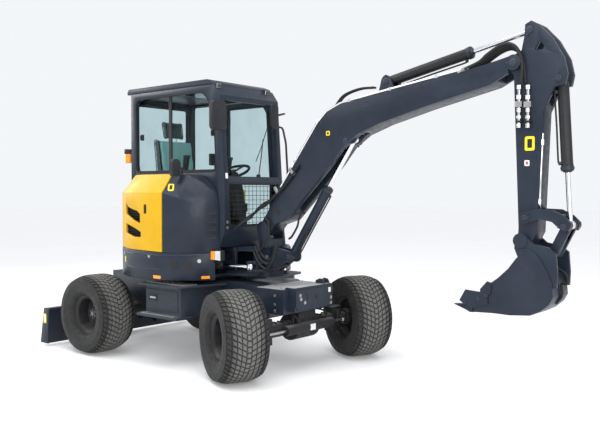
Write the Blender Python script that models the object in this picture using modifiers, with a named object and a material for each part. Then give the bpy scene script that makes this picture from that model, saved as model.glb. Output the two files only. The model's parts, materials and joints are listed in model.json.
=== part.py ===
"""A compact wheeled excavator with a swing boom, a rear dozer blade and a full cab.

Frame: +X forward, +Y to the machine's left, +Z up, in metres, standing on z = 0.
Chassis pieces are drawn from the middle of the wheelbase, and everything above the slew ring
from the slew axis. The root empty then shifts the whole machine so that the origin is the
middle of its footprint.
"""

import bpy
import bmesh
import math
from mathutils import Matrix, Vector

# ---- driving dimensions --------------------------------------------------------------------
GAP = 0.0003  # between pieces that rest on each other
SEAM = 0.006  # open seam round a panel that opens
SIDE_PLAY = 0.0005  # at each side of an eye between its ears

WHEELBASE = 2.00
TRACK = 1.57
TYRE_RADIUS = 0.3935
TYRE_WIDTH = 0.394
RIM_RADIUS = 0.195
KINGPIN_Y = 0.56
STEER_AT_REST = -25.0  # degrees, towards the machine's right
STEER_ROD_RADIUS = 0.0125
STEER_ARM = 0.12  # from the kingpin forward to the steering rod's eye
STEER_ROD_X = 0.114  # the rod's line, ahead of the axle
STEER_EYE_SHIFT = STEER_ARM * math.sin(math.radians(STEER_AT_REST))

FRAME_HALF = 0.33  # half-width of the chassis box
FRAME_TOP = 0.765
FRAME_REAR = -1.36
FRAME_FRONT = 1.09
NOSE_FRONT = 1.17  # front end of the chassis nose box
NOSE_HALF = 0.27
NOSE_TOP = 0.765

SLEW_X = -0.20  # slew axis, from mid-wheelbase
TAIL_RADIUS = 0.857
HOUSE_HALF = 0.845
HOUSE_FRONT = 0.66
BASE_BOTTOM = 0.815
BASE_TOP = 0.84
SKIRT_BOTTOM = 0.805
COVER_TOP = 1.775
COVER_BEVEL = 0.13
COVER_WALL = 0.02
SEAM_LEFT = -0.27  # where the left hood ends, behind the door
SEAM_RIGHT = 0.27  # where the right hood meets the fixed side cover

CAB_RIGHT = -0.46
CAB_LEFT = 0.34
CAB_REAR = -0.66
CAB_FLOOR = 1.10
CAB_FRONT = 0.69
CAB_KNEE = 1.72  # above this the front leans back
CAB_BROW = 0.635  # front of the cab where the windscreen ends
CAB_EAVES = 2.60
CAB_WALL = 0.045
ROOF_TOP = 2.655
GLASS = 0.006

BOOM_Y = -0.09  # the digging plane, right of the slew axis
SWING_X = 0.80
BOOM_HALF = 0.105
ARM_HALF = 0.078
BUCKET_HALF = 0.14

# pins in the digging plane, (x from the slew axis, z above the ground)
BOOM_FOOT = (0.927, 1.275)
BOOM_CYL_FOOT = (1.190, 1.027)
BOOM_CYL_EYE = (1.883, 2.060)
ARM_CYL_FOOT = (2.232, 2.507)
BOOM_TIP = (3.331, 2.528)
ARM_CYL_EYE = (3.448, 2.760)
BUCKET_CYL_FOOT = (3.647, 2.392)
LEVER_PIN = (3.422, 1.430)
LEVER_END = (3.711, 1.384)
BUCKET_PIN = (3.405, 1.270)
LINK_PIN = (3.610, 1.183)

# swing cylinder, (x, y) from the slew axis, at its own height
SWING_CYL_FOOT = (0.12, -0.52)
SWING_CYL_EYE = (0.87, -0.31)
SWING_CYL_Z = 0.93

# blade pins, (x from mid-wheelbase, z)
BLADE_PIN = (-1.27, 0.42)
BLADE_CYL_FOOT = (-1.42, 0.68)
BLADE_CYL_EYE = (-1.55, 0.33)
BLADE_X = -1.66
BLADE_HALF = 0.97
BLADE_BOTTOM = 0.03
BLADE_TOP = 0.40

LUG_BLADE = 0.0375  # from the middle plane to the inner face of each pair of cylinder ears
LUG_POST = 0.0435
LUG_BOOM_UNDER = 0.0335
LUG_BOOM_TOP = 0.0435
LUG_ARM = 0.0445
LUG_LEVER = 0.0310

SIDES = 16  # facets of a small round


# ---- scene and helpers ---------------------------------------------------------------------
def clear_scene():
    for obj in list(bpy.data.objects):
        bpy.data.objects.remove(obj, do_unlink=True)
    for mesh in list(bpy.data.meshes):
        bpy.data.meshes.remove(mesh)


clear_scene()
PARTS = bpy.data.collections.new("wheeled_excavator")
CUTTERS = bpy.data.collections.new("cutters")
for group in (PARTS, CUTTERS):
    bpy.context.scene.collection.children.link(group)

UPPER = Vector((SLEW_X, 0, 0))  # where the coordinates of the upper machine start
LOWER = Vector((0, 0, 0))


def material(name, colour, roughness, metallic=0.0, alpha=1.0):
    made = bpy.data.materials.new(name)
    made.use_nodes = True
    shader = made.node_tree.nodes["Principled BSDF"]
    shader.inputs["Base Color"].default_value = (*colour, 1)
    shader.inputs["Roughness"].default_value = roughness
    shader.inputs["Metallic"].default_value = metallic
    shader.inputs["Alpha"].default_value = alpha
    return made


FINISHES = {
    "graphite": ((0.055, 0.062, 0.085), 0.45, 0.2),
    "black": ((0.02, 0.02, 0.022), 0.6, 0.0),
    "yellow": ((0.85, 0.55, 0.01), 0.35, 0.0),
    "rubber": ((0.045, 0.045, 0.045), 0.85, 0.0),
    "chrome": ((0.75, 0.76, 0.78), 0.15, 1.0),
    "glass": ((0.55, 0.70, 0.68), 0.05, 0.0),
    "trim": ((0.03, 0.03, 0.035), 0.7, 0.0),
    "amber": ((0.9, 0.25, 0.01), 0.3, 0.0),
    "engine": ((0.12, 0.12, 0.12), 0.6, 0.4),
}


def pivot(name, at, parent=None, turn=0.0):
    """An empty on a joint's axis. `at` is in machine coordinates; turn is a rest angle about Z."""
    empty = bpy.data.objects.new(name + "_axis", None)
    empty.empty_display_size = 0.1
    PARTS.objects.link(empty)
    empty.parent = parent
    start = parent["at"] if parent else (0, 0, 0)
    empty.location = Vector(at) - Vector(start)
    empty.rotation_euler.z = math.radians(turn)
    empty["at"] = tuple(at)
    return empty


def mesh_object(name, mesh):
    obj = bpy.data.objects.new(name, mesh)
    CUTTERS.objects.link(obj)
    obj.hide_render = True
    obj.display_type = "WIRE"
    return obj


def from_bmesh(name, shape):
    bmesh.ops.recalc_face_normals(shape, faces=shape.faces)
    mesh = bpy.data.meshes.new(name)
    shape.to_mesh(mesh)
    shape.free()
    return mesh_object(name, mesh)


def block(low, high):
    """A box between two corners."""
    shape = bmesh.new()
    size = Vector(high) - Vector(low)
    middle = (Vector(high) + Vector(low)) / 2
    place = Matrix.Translation(middle) @ Matrix.Diagonal((*size, 1))
    bmesh.ops.create_cube(shape, size=1, matrix=place)
    return from_bmesh("block", shape)


def both_sides(low, high, middle=0.0):
    """Two boxes, mirrored in the plane y = middle, from one box given by its +Y side."""
    flipped_low = (low[0], 2 * middle - high[1], low[2])
    flipped_high = (high[0], 2 * middle - low[1], high[2])
    return [block(low, high), block(flipped_low, flipped_high)]


def bar(start, end, radius, sides=SIDES, end_radius=None):
    """A round bar from start to end."""
    start, end = Vector(start), Vector(end)
    along = end - start
    turn = along.to_track_quat("Z", "Y").to_matrix().to_4x4()
    shape = bmesh.new()
    bmesh.ops.create_cone(
        shape,
        cap_ends=True,
        segments=sides,
        radius1=radius,
        radius2=radius if end_radius is None else end_radius,
        depth=along.length,
        matrix=Matrix.Translation((start + end) / 2) @ turn,
    )
    return from_bmesh("bar", shape)


def pin(at, radius, low, high, sides=SIDES):
    """A round bar along Y at a point (x, z)."""
    return bar((at[0], low, at[1]), (at[0], high, at[1]), radius, sides)


def flat(outline, thickness):
    """A flat outline as a filled 2D curve with thickness, made a mesh in its own XY plane."""
    curve = bpy.data.curves.new("outline", "CURVE")
    curve.dimensions = "2D"
    curve.fill_mode = "BOTH"
    curve.extrude = thickness / 2
    spline = curve.splines.new("POLY")
    spline.points.add(len(outline) - 1)
    for point, (x, y) in zip(spline.points, outline):
        point.co = (x, y, 0, 1)
    spline.use_cyclic_u = True
    drawn = bpy.data.objects.new("outline", curve)
    bpy.context.scene.collection.objects.link(drawn)
    graph = bpy.context.evaluated_depsgraph_get()
    mesh = bpy.data.meshes.new_from_object(drawn.evaluated_get(graph))
    bpy.data.objects.remove(drawn)
    shape = bmesh.new()
    shape.from_mesh(mesh)
    bpy.data.meshes.remove(mesh)
    bmesh.ops.remove_doubles(shape, verts=shape.verts, dist=1e-5)
    return shape


def side_plate(outline, low, high):
    """An outline in (x, z) as a plate between y = low and y = high."""
    shape = flat(outline, high - low)
    stand = Matrix.Translation((0, (low + high) / 2, 0)) @ Matrix.Rotation(math.pi / 2, 4, "X")
    bmesh.ops.transform(shape, matrix=stand, verts=shape.verts)
    return from_bmesh("side_plate", shape)


def level_plate(outline, low, high):
    """An outline in (x, y) as a plate between z = low and z = high."""
    shape = flat(outline, high - low)
    bmesh.ops.transform(shape, matrix=Matrix.Translation((0, 0, (low + high) / 2)), verts=shape.verts)
    return from_bmesh("level_plate", shape)


def cross_plate(outline, low, high):
    """An outline in (y, z) as a plate between x = low and x = high."""
    shape = flat(outline, high - low)
    axes = Matrix(((0, 0, 1, (low + high) / 2), (1, 0, 0, 0), (0, 1, 0, 0), (0, 0, 0, 1)))
    bmesh.ops.transform(shape, matrix=axes, verts=shape.verts)
    return from_bmesh("cross_plate", shape)


def ears(outline, inner, outer, middle=0.0):
    """A pair of like side plates at inner..outer from the plane y = middle."""
    return [
        side_plate(outline, middle + inner, middle + outer),
        side_plate(outline, middle - outer, middle - inner),
    ]


def tube(points, radius, closed=False, resolution=2):
    """A bent tube with filled ends, as a mesh."""
    curve = bpy.data.curves.new("tube", "CURVE")
    curve.dimensions = "3D"
    curve.bevel_depth = radius
    curve.bevel_resolution = resolution
    curve.use_fill_caps = True
    spline = curve.splines.new("POLY")
    spline.points.add(len(points) - 1)
    for point, place in zip(spline.points, points):
        point.co = (*place, 1)
    spline.use_cyclic_u = closed
    drawn = bpy.data.objects.new("tube", curve)
    bpy.context.scene.collection.objects.link(drawn)
    graph = bpy.context.evaluated_depsgraph_get()
    mesh = bpy.data.meshes.new_from_object(drawn.evaluated_get(graph))
    bpy.data.objects.remove(drawn)
    shape = bmesh.new()
    shape.from_mesh(mesh)
    bpy.data.meshes.remove(mesh)
    bmesh.ops.remove_doubles(shape, verts=shape.verts, dist=1e-5)
    return from_bmesh("tube", shape)


def rounded(points, radius, steps=3):
    """A path or outline with each of its inner corners turned into an arc of straight pieces."""
    path = [Vector(point) for point in points]
    made = [path[0]]
    for before, corner, after in zip(path, path[1:], path[2:]):
        back, forth = before - corner, after - corner
        reach = min(radius, back.length * 0.45, forth.length * 0.45)
        start, end = corner + back.normalized() * reach, corner + forth.normalized() * reach
        for step in range(steps + 1):
            share = step / steps
            near = start.lerp(corner, share)
            far = corner.lerp(end, share)
            made.append(near.lerp(far, share))
    made.append(path[-1])
    return [tuple(point) for point in made]


def closed_rounded(points, radius, steps=3):
    """An outline with every corner rounded."""
    path = [Vector(point) for point in points]
    made = []
    for index, corner in enumerate(path):
        back, forth = path[index - 1] - corner, path[(index + 1) % len(path)] - corner
        reach = min(radius, back.length * 0.45, forth.length * 0.45)
        start, end = corner + back.normalized() * reach, corner + forth.normalized() * reach
        for step in range(steps + 1):
            share = step / steps
            made.append(tuple(start.lerp(corner, share).lerp(corner.lerp(end, share), share)))
    return made


def arc(centre, radius, start, end, steps):
    """Points on an arc, from one angle to another in degrees."""
    made = []
    for step in range(steps + 1):
        angle = math.radians(start + (end - start) * step / steps)
        made.append((centre[0] + radius * math.cos(angle), centre[1] + radius * math.sin(angle)))
    return made


def strap(one, one_radius, other, other_radius, steps=6):
    """The outline of a plate with round ends about two points."""
    first, second = Vector(one), Vector(other)
    along = second - first
    heading = math.degrees(math.atan2(along.y, along.x))
    lean = math.degrees(math.acos((one_radius - other_radius) / along.length))
    far = arc(other, other_radius, heading - lean, heading + lean, steps)
    near = arc(one, one_radius, heading + lean, heading + 360 - lean, steps)
    return far + near


def loft(layers):
    """A closed body through rings of equally many points, each ring (points in x, y; height at x)."""
    shape = bmesh.new()
    rings = [[shape.verts.new((x, y, height(x))) for x, y in outline] for outline, height in layers]
    for low, high in zip(rings, rings[1:]):
        for index in range(len(low)):
            after = (index + 1) % len(low)
            shape.faces.new((low[index], low[after], high[after], high[index]))
    bmesh.ops.triangulate(shape, faces=shape.faces)
    shape.faces.new(rings[0])
    shape.faces.new(rings[-1])
    return from_bmesh("loft", shape)


def turned(profile, steps):
    """A closed (radius, y) profile turned about the Y axis by a Screw modifier, as a mesh."""
    shape = bmesh.new()
    points = [shape.verts.new((radius, 0, y)) for radius, y in profile]
    for index, point in enumerate(points):
        after = points[(index + 1) % len(points)]
        if point.co.x > 0 or after.co.x > 0:
            shape.edges.new((point, after))
    mesh = bpy.data.meshes.new("profile")
    shape.to_mesh(mesh)
    shape.free()
    drawn = bpy.data.objects.new("profile", mesh)
    bpy.context.scene.collection.objects.link(drawn)
    screw = drawn.modifiers.new("turn", "SCREW")
    screw.steps = steps
    screw.render_steps = steps
    screw.use_merge_vertices = True
    screw.merge_threshold = 0.0001
    graph = bpy.context.evaluated_depsgraph_get()
    made = bpy.data.meshes.new_from_object(drawn.evaluated_get(graph))
    bpy.data.objects.remove(drawn)
    shape = bmesh.new()
    shape.from_mesh(made)
    bmesh.ops.remove_doubles(shape, verts=shape.verts, dist=1e-5)
    bmesh.ops.transform(shape, matrix=Matrix.Rotation(-math.pi / 2, 4, "X"), verts=shape.verts)
    return from_bmesh("turned", shape)


def node(name, finish, carrier, start, pieces, cuts=(), after=()):
    """One sub-part: the first piece, joined to the others, cut, and joined to the pieces in after.

    It is carried by an empty; start is the origin of the coordinates that it was drawn in.
    """
    base = pieces[0]
    base.name = name
    base.data.name = name
    CUTTERS.objects.unlink(base)
    PARTS.objects.link(base)
    base.hide_render = False
    base.display_type = "TEXTURED"
    base.data.materials.append(material(name + "_" + finish, *FINISHES[finish]))
    steps = [(piece, "UNION") for piece in pieces[1:]] + [(cutter, "DIFFERENCE") for cutter in cuts]
    steps += [(piece, "UNION") for piece in after]
    for other, operation in steps:
        step = base.modifiers.new(operation.lower(), "BOOLEAN")
        step.operation = operation
        step.object = other
        step.solver = "EXACT"
        other.name = name + "_" + operation.lower()
    for obj in [base, *pieces[1:], *cuts, *after]:
        obj.parent = carrier
        obj.location = Vector(start) - Vector(carrier["at"])
    if len(base.data.polygons) > 12:
        base.data.shade_smooth()
        base.data.set_sharp_from_angle(angle=math.radians(35))
    return base


# ---- joints' empties -----------------------------------------------------------------------
def at_upper(x, z, y=BOOM_Y):
    return (SLEW_X + x, y, z)


ROOT = pivot("machine", (0, 0, 0))
CHASSIS = pivot("chassis", (0, 0, 0), ROOT)
HOUSE = pivot("house", (SLEW_X, 0, BASE_BOTTOM), ROOT)
SWING = pivot("swing", at_upper(SWING_X, SWING_CYL_Z), HOUSE)
SWING_BARREL = pivot("swing_barrel", (SLEW_X + SWING_CYL_FOOT[0], SWING_CYL_FOOT[1], SWING_CYL_Z), HOUSE)
SWING_ROD = pivot("swing_rod", (SLEW_X + SWING_CYL_EYE[0], SWING_CYL_EYE[1], SWING_CYL_Z), SWING_BARREL)
BOOM = pivot("boom", at_upper(*BOOM_FOOT), SWING)
BOOM_BARREL = pivot("boom_barrel", at_upper(*BOOM_CYL_FOOT), SWING)
BOOM_ROD = pivot("boom_rod", at_upper(*BOOM_CYL_EYE), BOOM_BARREL)
ARM = pivot("arm", at_upper(*BOOM_TIP), BOOM)
ARM_BARREL = pivot("arm_barrel", at_upper(*ARM_CYL_FOOT), BOOM)
ARM_ROD = pivot("arm_rod", at_upper(*ARM_CYL_EYE), ARM_BARREL)
BUCKET = pivot("bucket", at_upper(*BUCKET_PIN), ARM)
BUCKET_BARREL = pivot("bucket_barrel", at_upper(*BUCKET_CYL_FOOT), ARM)
BUCKET_ROD = pivot("bucket_rod", at_upper(*LEVER_END), BUCKET_BARREL)
LEVER = pivot("lever", at_upper(*LEVER_PIN), ARM)
LINK = pivot("link", at_upper(*LEVER_END), LEVER)
BLADE = pivot("blade", (BLADE_PIN[0], 0, BLADE_PIN[1]), CHASSIS)
BLADE_BARREL = pivot("blade_barrel", (BLADE_CYL_FOOT[0], 0, BLADE_CYL_FOOT[1]), CHASSIS)
BLADE_ROD = pivot("blade_rod", (BLADE_CYL_EYE[0], 0, BLADE_CYL_EYE[1]), BLADE_BARREL)


# ---- chassis -------------------------------------------------------------------------------
def chassis_frame():
    outline = [
        (FRAME_REAR, 0.50), (-0.76, 0.50), (-0.66, 0.42), (0.66, 0.42), (0.76, 0.53),
        (FRAME_FRONT, 0.53), (FRAME_FRONT, NOSE_TOP - 0.015), (0.74, NOSE_TOP - 0.015),
        (0.70, FRAME_TOP), (FRAME_REAR, FRAME_TOP),
    ]
    box = side_plate(outline, -FRAME_HALF, FRAME_HALF)
    nose = block((FRAME_FRONT - 0.03, -NOSE_HALF, 0.555), (NOSE_FRONT, NOSE_HALF, NOSE_TOP))
    lugs = ears(strap((FRAME_REAR + 0.06, 0.52), 0.05, BLADE_PIN, 0.05), 0.19, 0.215)
    lugs += ears(strap((FRAME_REAR + 0.04, 0.68), 0.04, BLADE_CYL_FOOT, 0.035), LUG_BLADE,
        LUG_BLADE + 0.016)
    node("chassis_frame", "graphite", CHASSIS, LOWER, [box, nose, *lugs])


AXLE_HUB = TRACK / 2 - 0.05 - GAP  # where an axle's end meets the wheel's disc


def rear_axle():
    z = TYRE_RADIUS
    x = -WHEELBASE / 2
    beam = bar((x, -AXLE_HUB, z), (x, AXLE_HUB, z), 0.065)
    housing = bar((x, -0.16, z), (x, 0.16, z), 0.10)
    seat = block((x - 0.09, -0.30, z), (x + 0.09, 0.30, 0.50 - GAP))
    drums = [bar((x, s * 0.50, z), (x, s * 0.68, z), 0.10) for s in (-1, 1)]
    motor = block((x + 0.05, -0.13, z - 0.09), (x + 0.36, 0.13, z + 0.02))
    node("rear_axle", "black", CHASSIS, LOWER, [beam, housing, seat, *drums, motor])


FORK_INNER = 0.086  # half-height of the axle's kingpin fork
KNUCKLE_HALF = FORK_INNER - SIDE_PLAY


def front_axle():
    z = TYRE_RADIUS
    x = WHEELBASE / 2
    beam = bar((x, -0.47, z), (x, 0.47, z), 0.065)
    housing = bar((x, -0.15, z), (x, 0.15, z), 0.12)
    seat = block((x - 0.09, -0.12, z), (x + 0.09, 0.12, 0.53 - GAP))
    pieces = [beam, housing, seat]
    for s in (-1, 1):
        low, high = sorted((s * 0.43, s * 0.50))
        pieces.append(block((x - 0.05, low, z - 0.115), (x + 0.05, high, z + 0.115)))
        low, high = sorted((s * 0.45, s * KINGPIN_Y))
        for lift in (FORK_INNER, -0.115):
            pieces.append(block((x - 0.04, low, z + lift), (x + 0.04, high, z + lift + 0.029)))
            pieces.append(
                bar((x, s * KINGPIN_Y, z + lift), (x, s * KINGPIN_Y, z + lift + 0.029), 0.04)
            )
    pieces.append(bar((x + STEER_ROD_X, -0.22, z), (x + STEER_ROD_X, 0.22, z), 0.032))
    pieces.append(block((x + 0.03, -0.18, z - 0.02), (x + STEER_ROD_X - 0.015, 0.18, z + 0.02)))
    pieces.append(bar((x - PINION_NOSE, 0, z - SHAFT_DROP), (x, 0, z - SHAFT_DROP), 0.04))
    bore = bar((x + STEER_ROD_X, -0.30, z), (x + STEER_ROD_X, 0.30, z), STEER_ROD_RADIUS + SIDE_PLAY)
    node("front_axle", "black", CHASSIS, LOWER, pieces, [bore])


PINION_NOSE = 0.16
SHAFT_DROP = 0.03


def steering_rod():
    z = TYRE_RADIUS
    x = WHEELBASE / 2 + STEER_ROD_X
    ends = [s * KINGPIN_Y + STEER_EYE_SHIFT for s in (-1, 1)]
    rod = bar((x, ends[0], z), (x, ends[1], z), STEER_ROD_RADIUS - 0.0002)
    eyes = [bar((x, y, z - 0.012), (x, y, z + 0.012), 0.022) for y in ends]
    carrier = pivot("steering_rod_slide", (x, 0, z), CHASSIS)
    node("steering_rod", "chrome", carrier, LOWER, [rod, *eyes])


def drive_shaft():
    z = TYRE_RADIUS - SHAFT_DROP
    start, end = -WHEELBASE / 2 + 0.36 + GAP, WHEELBASE / 2 - PINION_NOSE - GAP
    shaft = bar((start, 0, z), (end, 0, z), 0.024)
    joints = [bar((x, 0, z), (x + 0.07, 0, z), 0.042) for x in (start, end - 0.07)]
    node("drive_shaft", "black", CHASSIS, LOWER, [shaft, *joints])


def slew_ring():
    ring = bar((0, 0, FRAME_TOP + GAP), (0, 0, FRAME_TOP + 0.025), 0.33, 36)
    node("slew_ring", "black", CHASSIS, UPPER, [ring])


STEP_FRONT, STEP_REAR = 0.33, -0.27
STEP_OUT = 0.86


def step_box(side):
    """The tank or tool box between the wheels, with an upper and a lower tread."""
    inner = FRAME_HALF + GAP
    box = [(STEP_REAR + 0.02, inner), (STEP_FRONT - 0.02, inner), (STEP_FRONT - 0.02, 0.70)]
    box += [(STEP_FRONT - 0.06, 0.79), (STEP_REAR + 0.05, 0.79), (STEP_REAR + 0.02, 0.70)]
    lower = [(STEP_REAR, 0.70), (STEP_FRONT, 0.70), (STEP_FRONT - 0.02, STEP_OUT + 0.02)]
    lower += [(STEP_REAR + 0.02, STEP_OUT + 0.02)]
    upper = [(STEP_REAR, inner + 0.02), (STEP_FRONT + 0.08, inner + 0.02), (STEP_FRONT, STEP_OUT - 0.04)]
    upper += [(STEP_FRONT - 0.03, STEP_OUT), (STEP_REAR + 0.02, STEP_OUT)]

    def turned_to(side_outline):
        return [(x, side * y) for x, y in side_outline]

    pieces = [
        level_plate(turned_to(box), 0.475, 0.752),
        level_plate(turned_to(upper), 0.745, 0.765),
        level_plate(turned_to(lower), 0.465, 0.485),
    ]
    name = "step_box_left" if side > 0 else "step_box_right"
    node(name, "graphite", CHASSIS, LOWER, pieces)


# ---- wheels and steering -------------------------------------------------------------------
WHEEL_STEPS = 26


def tyre_profile():
    half = TYRE_WIDTH / 2
    crown = TYRE_RADIUS / math.cos(math.pi / WHEEL_STEPS)  # puts the flats of the tyre at the radius
    side = [
        (RIM_RADIUS + GAP, 0.70 * half), (RIM_RADIUS + 0.035, 0.90 * half),
        (crown - 0.085, half), (crown - 0.030, 0.94 * half), (crown - 0.006, 0.72 * half),
        (crown, 0.35 * half),
    ]
    return side + [(radius, -y) for radius, y in reversed(side)]


def rim_profile(side):
    """A deep dish: hub, disc and barrel as one turned piece; +y is the outer side of a left wheel."""
    flange = RIM_RADIUS
    points = [
        (0, 0.055), (0.055, 0.055), (0.062, -0.01), (0.125, -0.02), (flange - 0.045, 0.01),
        (flange - 0.035, 0.115), (flange - 0.008, 0.135), (flange, 0.135), (flange, -0.135),
        (flange - 0.008, -0.135), (flange - 0.03, -0.115), (flange - 0.035, -0.055),
        (0.125, -0.05), (0, -0.05),
    ]
    return [(radius, side * y) for radius, y in points]


def wheel(name, carrier, side):
    """A tyre and a rim about the carrier's own origin; side is +1 on the left."""
    at = Vector(carrier["at"])
    tyre = turned(tyre_profile(), WHEEL_STEPS)
    node("tyre_" + name, "rubber", carrier, at, [tyre])
    rim = turned(rim_profile(side), WHEEL_STEPS)
    node("rim_" + name, "black", carrier, at, [rim])


def knuckle(side, carrier):
    """Hub carrier about the kingpin, its stub axle and its steering arm, in straight-ahead position."""
    out = TRACK / 2 - KINGPIN_Y - 0.05 - GAP
    barrel = bar((0, 0, -KNUCKLE_HALF), (0, 0, KNUCKLE_HALF), 0.042)
    stub = bar((0, 0, 0), (0, side * out, 0), 0.05)
    drum = bar((0, side * 0.075, 0), (0, side * (out - 0.02), 0), 0.08)
    low, high = -0.036, -0.0125
    arm = level_plate([(0, -0.028), (STEER_ARM, -0.018), (STEER_ARM, 0.018), (0, 0.028)], low, high)
    eye = bar((STEER_ARM, 0, low), (STEER_ARM, 0, high), 0.022)
    name = "knuckle_left" if side > 0 else "knuckle_right"
    node(name, "black", carrier, Vector(carrier["at"]), [barrel, stub, drum, arm, eye])


def running_gear():
    for side, letter in ((1, "l"), (-1, "r")):
        rear = pivot("wheel_r" + letter, (-WHEELBASE / 2, side * TRACK / 2, TYRE_RADIUS), CHASSIS)
        wheel("r" + letter, rear, side)
        kingpin = (WHEELBASE / 2, side * KINGPIN_Y, TYRE_RADIUS)
        steer = pivot("steer_" + letter, kingpin, CHASSIS, STEER_AT_REST)
        knuckle(side, steer)
        front = pivot("wheel_f" + letter, (WHEELBASE / 2, side * TRACK / 2, TYRE_RADIUS), steer)
        wheel("f" + letter, front, side)


# ---- blade ---------------------------------------------------------------------------------
def blade():
    face = [
        (BLADE_X, BLADE_BOTTOM), (BLADE_X + 0.035, BLADE_BOTTOM), (BLADE_X + 0.05, 0.20),
        (BLADE_X + 0.035, BLADE_TOP - 0.03), (BLADE_X + 0.06, BLADE_TOP), (BLADE_X - 0.01, BLADE_TOP),
        (BLADE_X + 0.005, 0.22),
    ]
    mouldboard = side_plate(face, -BLADE_HALF, BLADE_HALF)
    cheek = [(BLADE_X - 0.09, BLADE_BOTTOM), (BLADE_X + 0.05, BLADE_BOTTOM), (BLADE_X + 0.07, BLADE_TOP)]
    cheek += [(BLADE_X - 0.02, BLADE_TOP)]
    cheeks = ears(cheek, BLADE_HALF - 0.014, BLADE_HALF + 0.001)
    arm = strap((BLADE_X + 0.05, 0.20), 0.06, BLADE_PIN, 0.045)
    arms = ears(arm, 0.2155, 0.25)
    beam = block((BLADE_X + 0.10, -0.23, 0.18), (BLADE_X + 0.15, 0.23, 0.27))
    lugs = ears(strap((BLADE_X + 0.06, 0.30), 0.045, BLADE_CYL_EYE, 0.032), LUG_BLADE, LUG_BLADE + 0.016)
    node("blade", "graphite", BLADE, LOWER, [mouldboard, *cheeks, *arms, beam, *lugs])


def cylinder_pair(names, carriers, foot, eye, barrel_radius, rod_radius, barrel_share, halves, travel,
        start):
    """A hydraulic cylinder: the barrel with its foot eye, and the rod with its own eye.

    foot and eye are points in space, and halves are the half-widths of the two eyes along Y.
    travel is how far the rod can come out from here, and how far it can go in.
    """
    foot, eye = Vector(foot), Vector(eye)
    along = (eye - foot).normalized()
    length = (eye - foot).length
    eye_radius = barrel_radius * 0.85
    end = foot + along * length * barrel_share
    foot_side, eye_side = Vector((0, halves[0], 0)), Vector((0, halves[1], 0))
    barrel = bar(foot + along * eye_radius * 0.6, end, barrel_radius)
    gland = bar(end - along * 0.05, end, barrel_radius * 1.03)
    foot_eye = bar(foot - foot_side, foot + foot_side, eye_radius)
    inside = travel[0] + 0.01
    bore = bar(end - along * (inside + travel[1] + 0.01), end + along * 0.02, rod_radius + SIDE_PLAY)
    node(names[0], "graphite", carriers[0], start, [barrel, gland, foot_eye], [bore])
    rod = bar(end - along * inside, eye - along * eye_radius * 0.6, rod_radius)
    rod_eye = bar(eye - eye_side, eye + eye_side, eye_radius)
    node(names[1], "chrome", carriers[1], start, [rod, rod_eye])


def blade_cylinder():
    cylinder_pair(
        ("blade_barrel", "blade_rod"), (BLADE_BARREL, BLADE_ROD),
        (BLADE_CYL_FOOT[0], 0, BLADE_CYL_FOOT[1]), (BLADE_CYL_EYE[0], 0, BLADE_CYL_EYE[1]),
        0.036, 0.018, 0.62, (LUG_BLADE - SIDE_PLAY, LUG_BLADE - SIDE_PLAY), (0.075, 0.095), LOWER,
    )


# ---- house: structure ----------------------------------------------------------------------
def house_outline(inset, tail_inset=None, front=HOUSE_FRONT):
    """The plan of the house: a round tail, straight sides and drawn-in front corners."""
    tail = TAIL_RADIUS - (inset if tail_inset is None else tail_inset)
    half = HOUSE_HALF - inset
    start = math.degrees(math.acos(max(-1.0, min(1.0, half / tail)))) if half < tail else 0.0
    left = [(front, 0.40), (front - 0.10, 0.62 - inset), (0.42, 0.76 - inset), (0.26, half)]
    tail_points = arc((0, 0), tail, 90 + start, 270 - start, 16)
    if half > tail:
        tail_points = [(0, half)] + tail_points + [(0, -half)]
    return left + tail_points + [(x, -y) for x, y in reversed(left)]


SKIRT_WALL = 0.05
SWING_FOOT_HALF = 0.038
TAIL_WALL = 0.14


def skirt_top(lift):
    """The sloping line along the top of the counterweight, and everything above it."""
    line = [(-1.0, 1.135), (-0.62, 1.085), (-0.25, 1.068), (0.80, 1.05)]
    return [(x, z + lift) for x, z in line] + [(0.80, 3.0), (-1.0, 3.0)]


def counterweight():
    outer = level_plate(house_outline(0), SKIRT_BOTTOM, 1.20)
    inner = level_plate(house_outline(SKIRT_WALL, TAIL_WALL), SKIRT_BOTTOM - 0.1, 1.30)
    over = side_plate(skirt_top(0), -1, 1)
    mouth = block((0.50, -0.50, 0.70), (1.0, 0.50, 1.4))
    node("counterweight", "graphite", HOUSE, UPPER, [outer], [inner, over, mouth])


def turntable_frame():
    base = level_plate(house_outline(SKIRT_WALL + GAP, TAIL_WALL + GAP, HOUSE_FRONT - 0.14), BASE_BOTTOM,
        BASE_TOP)
    drum = bar((0, 0, FRAME_TOP + 0.025 + GAP), (0, 0, BASE_BOTTOM + 0.01), 0.30, 36)
    y = BOOM_Y
    webs = both_sides((-0.30, y + 0.11, BASE_TOP - 0.01), (0.60, y + 0.135, 1.05), y)
    crown = block((0.16, y - 0.16, 1.045), (0.60, y + 0.16, CAB_FLOOR - GAP))
    lug = [(0.50, y - 0.16), (SWING_X, y - 0.09), *arc((SWING_X, y), 0.09, -90, 90, 10)]
    lug += [(SWING_X, y + 0.09), (0.50, y + 0.16)]
    lugs = [level_plate(lug, 1.055, 1.095), level_plate(lug, 0.82, 0.87)]
    foot = bar((*SWING_CYL_FOOT, BASE_TOP - 0.01),
        (*SWING_CYL_FOOT, SWING_CYL_Z - SWING_FOOT_HALF - SIDE_PLAY), 0.035)
    deck = side_plate([(-0.62, 1.03), (0.16, 1.03), (0.16, 1.055), (-0.62, 1.055)], y - 0.16, y + 0.16)
    rear = block((-0.62, y - 0.16, BASE_TOP - 0.01), (-0.58, y + 0.16, 1.055))
    node("turntable_frame", "graphite", HOUSE, UPPER, [base, drum, *webs, crown, *lugs, foot, deck, rear])


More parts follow.
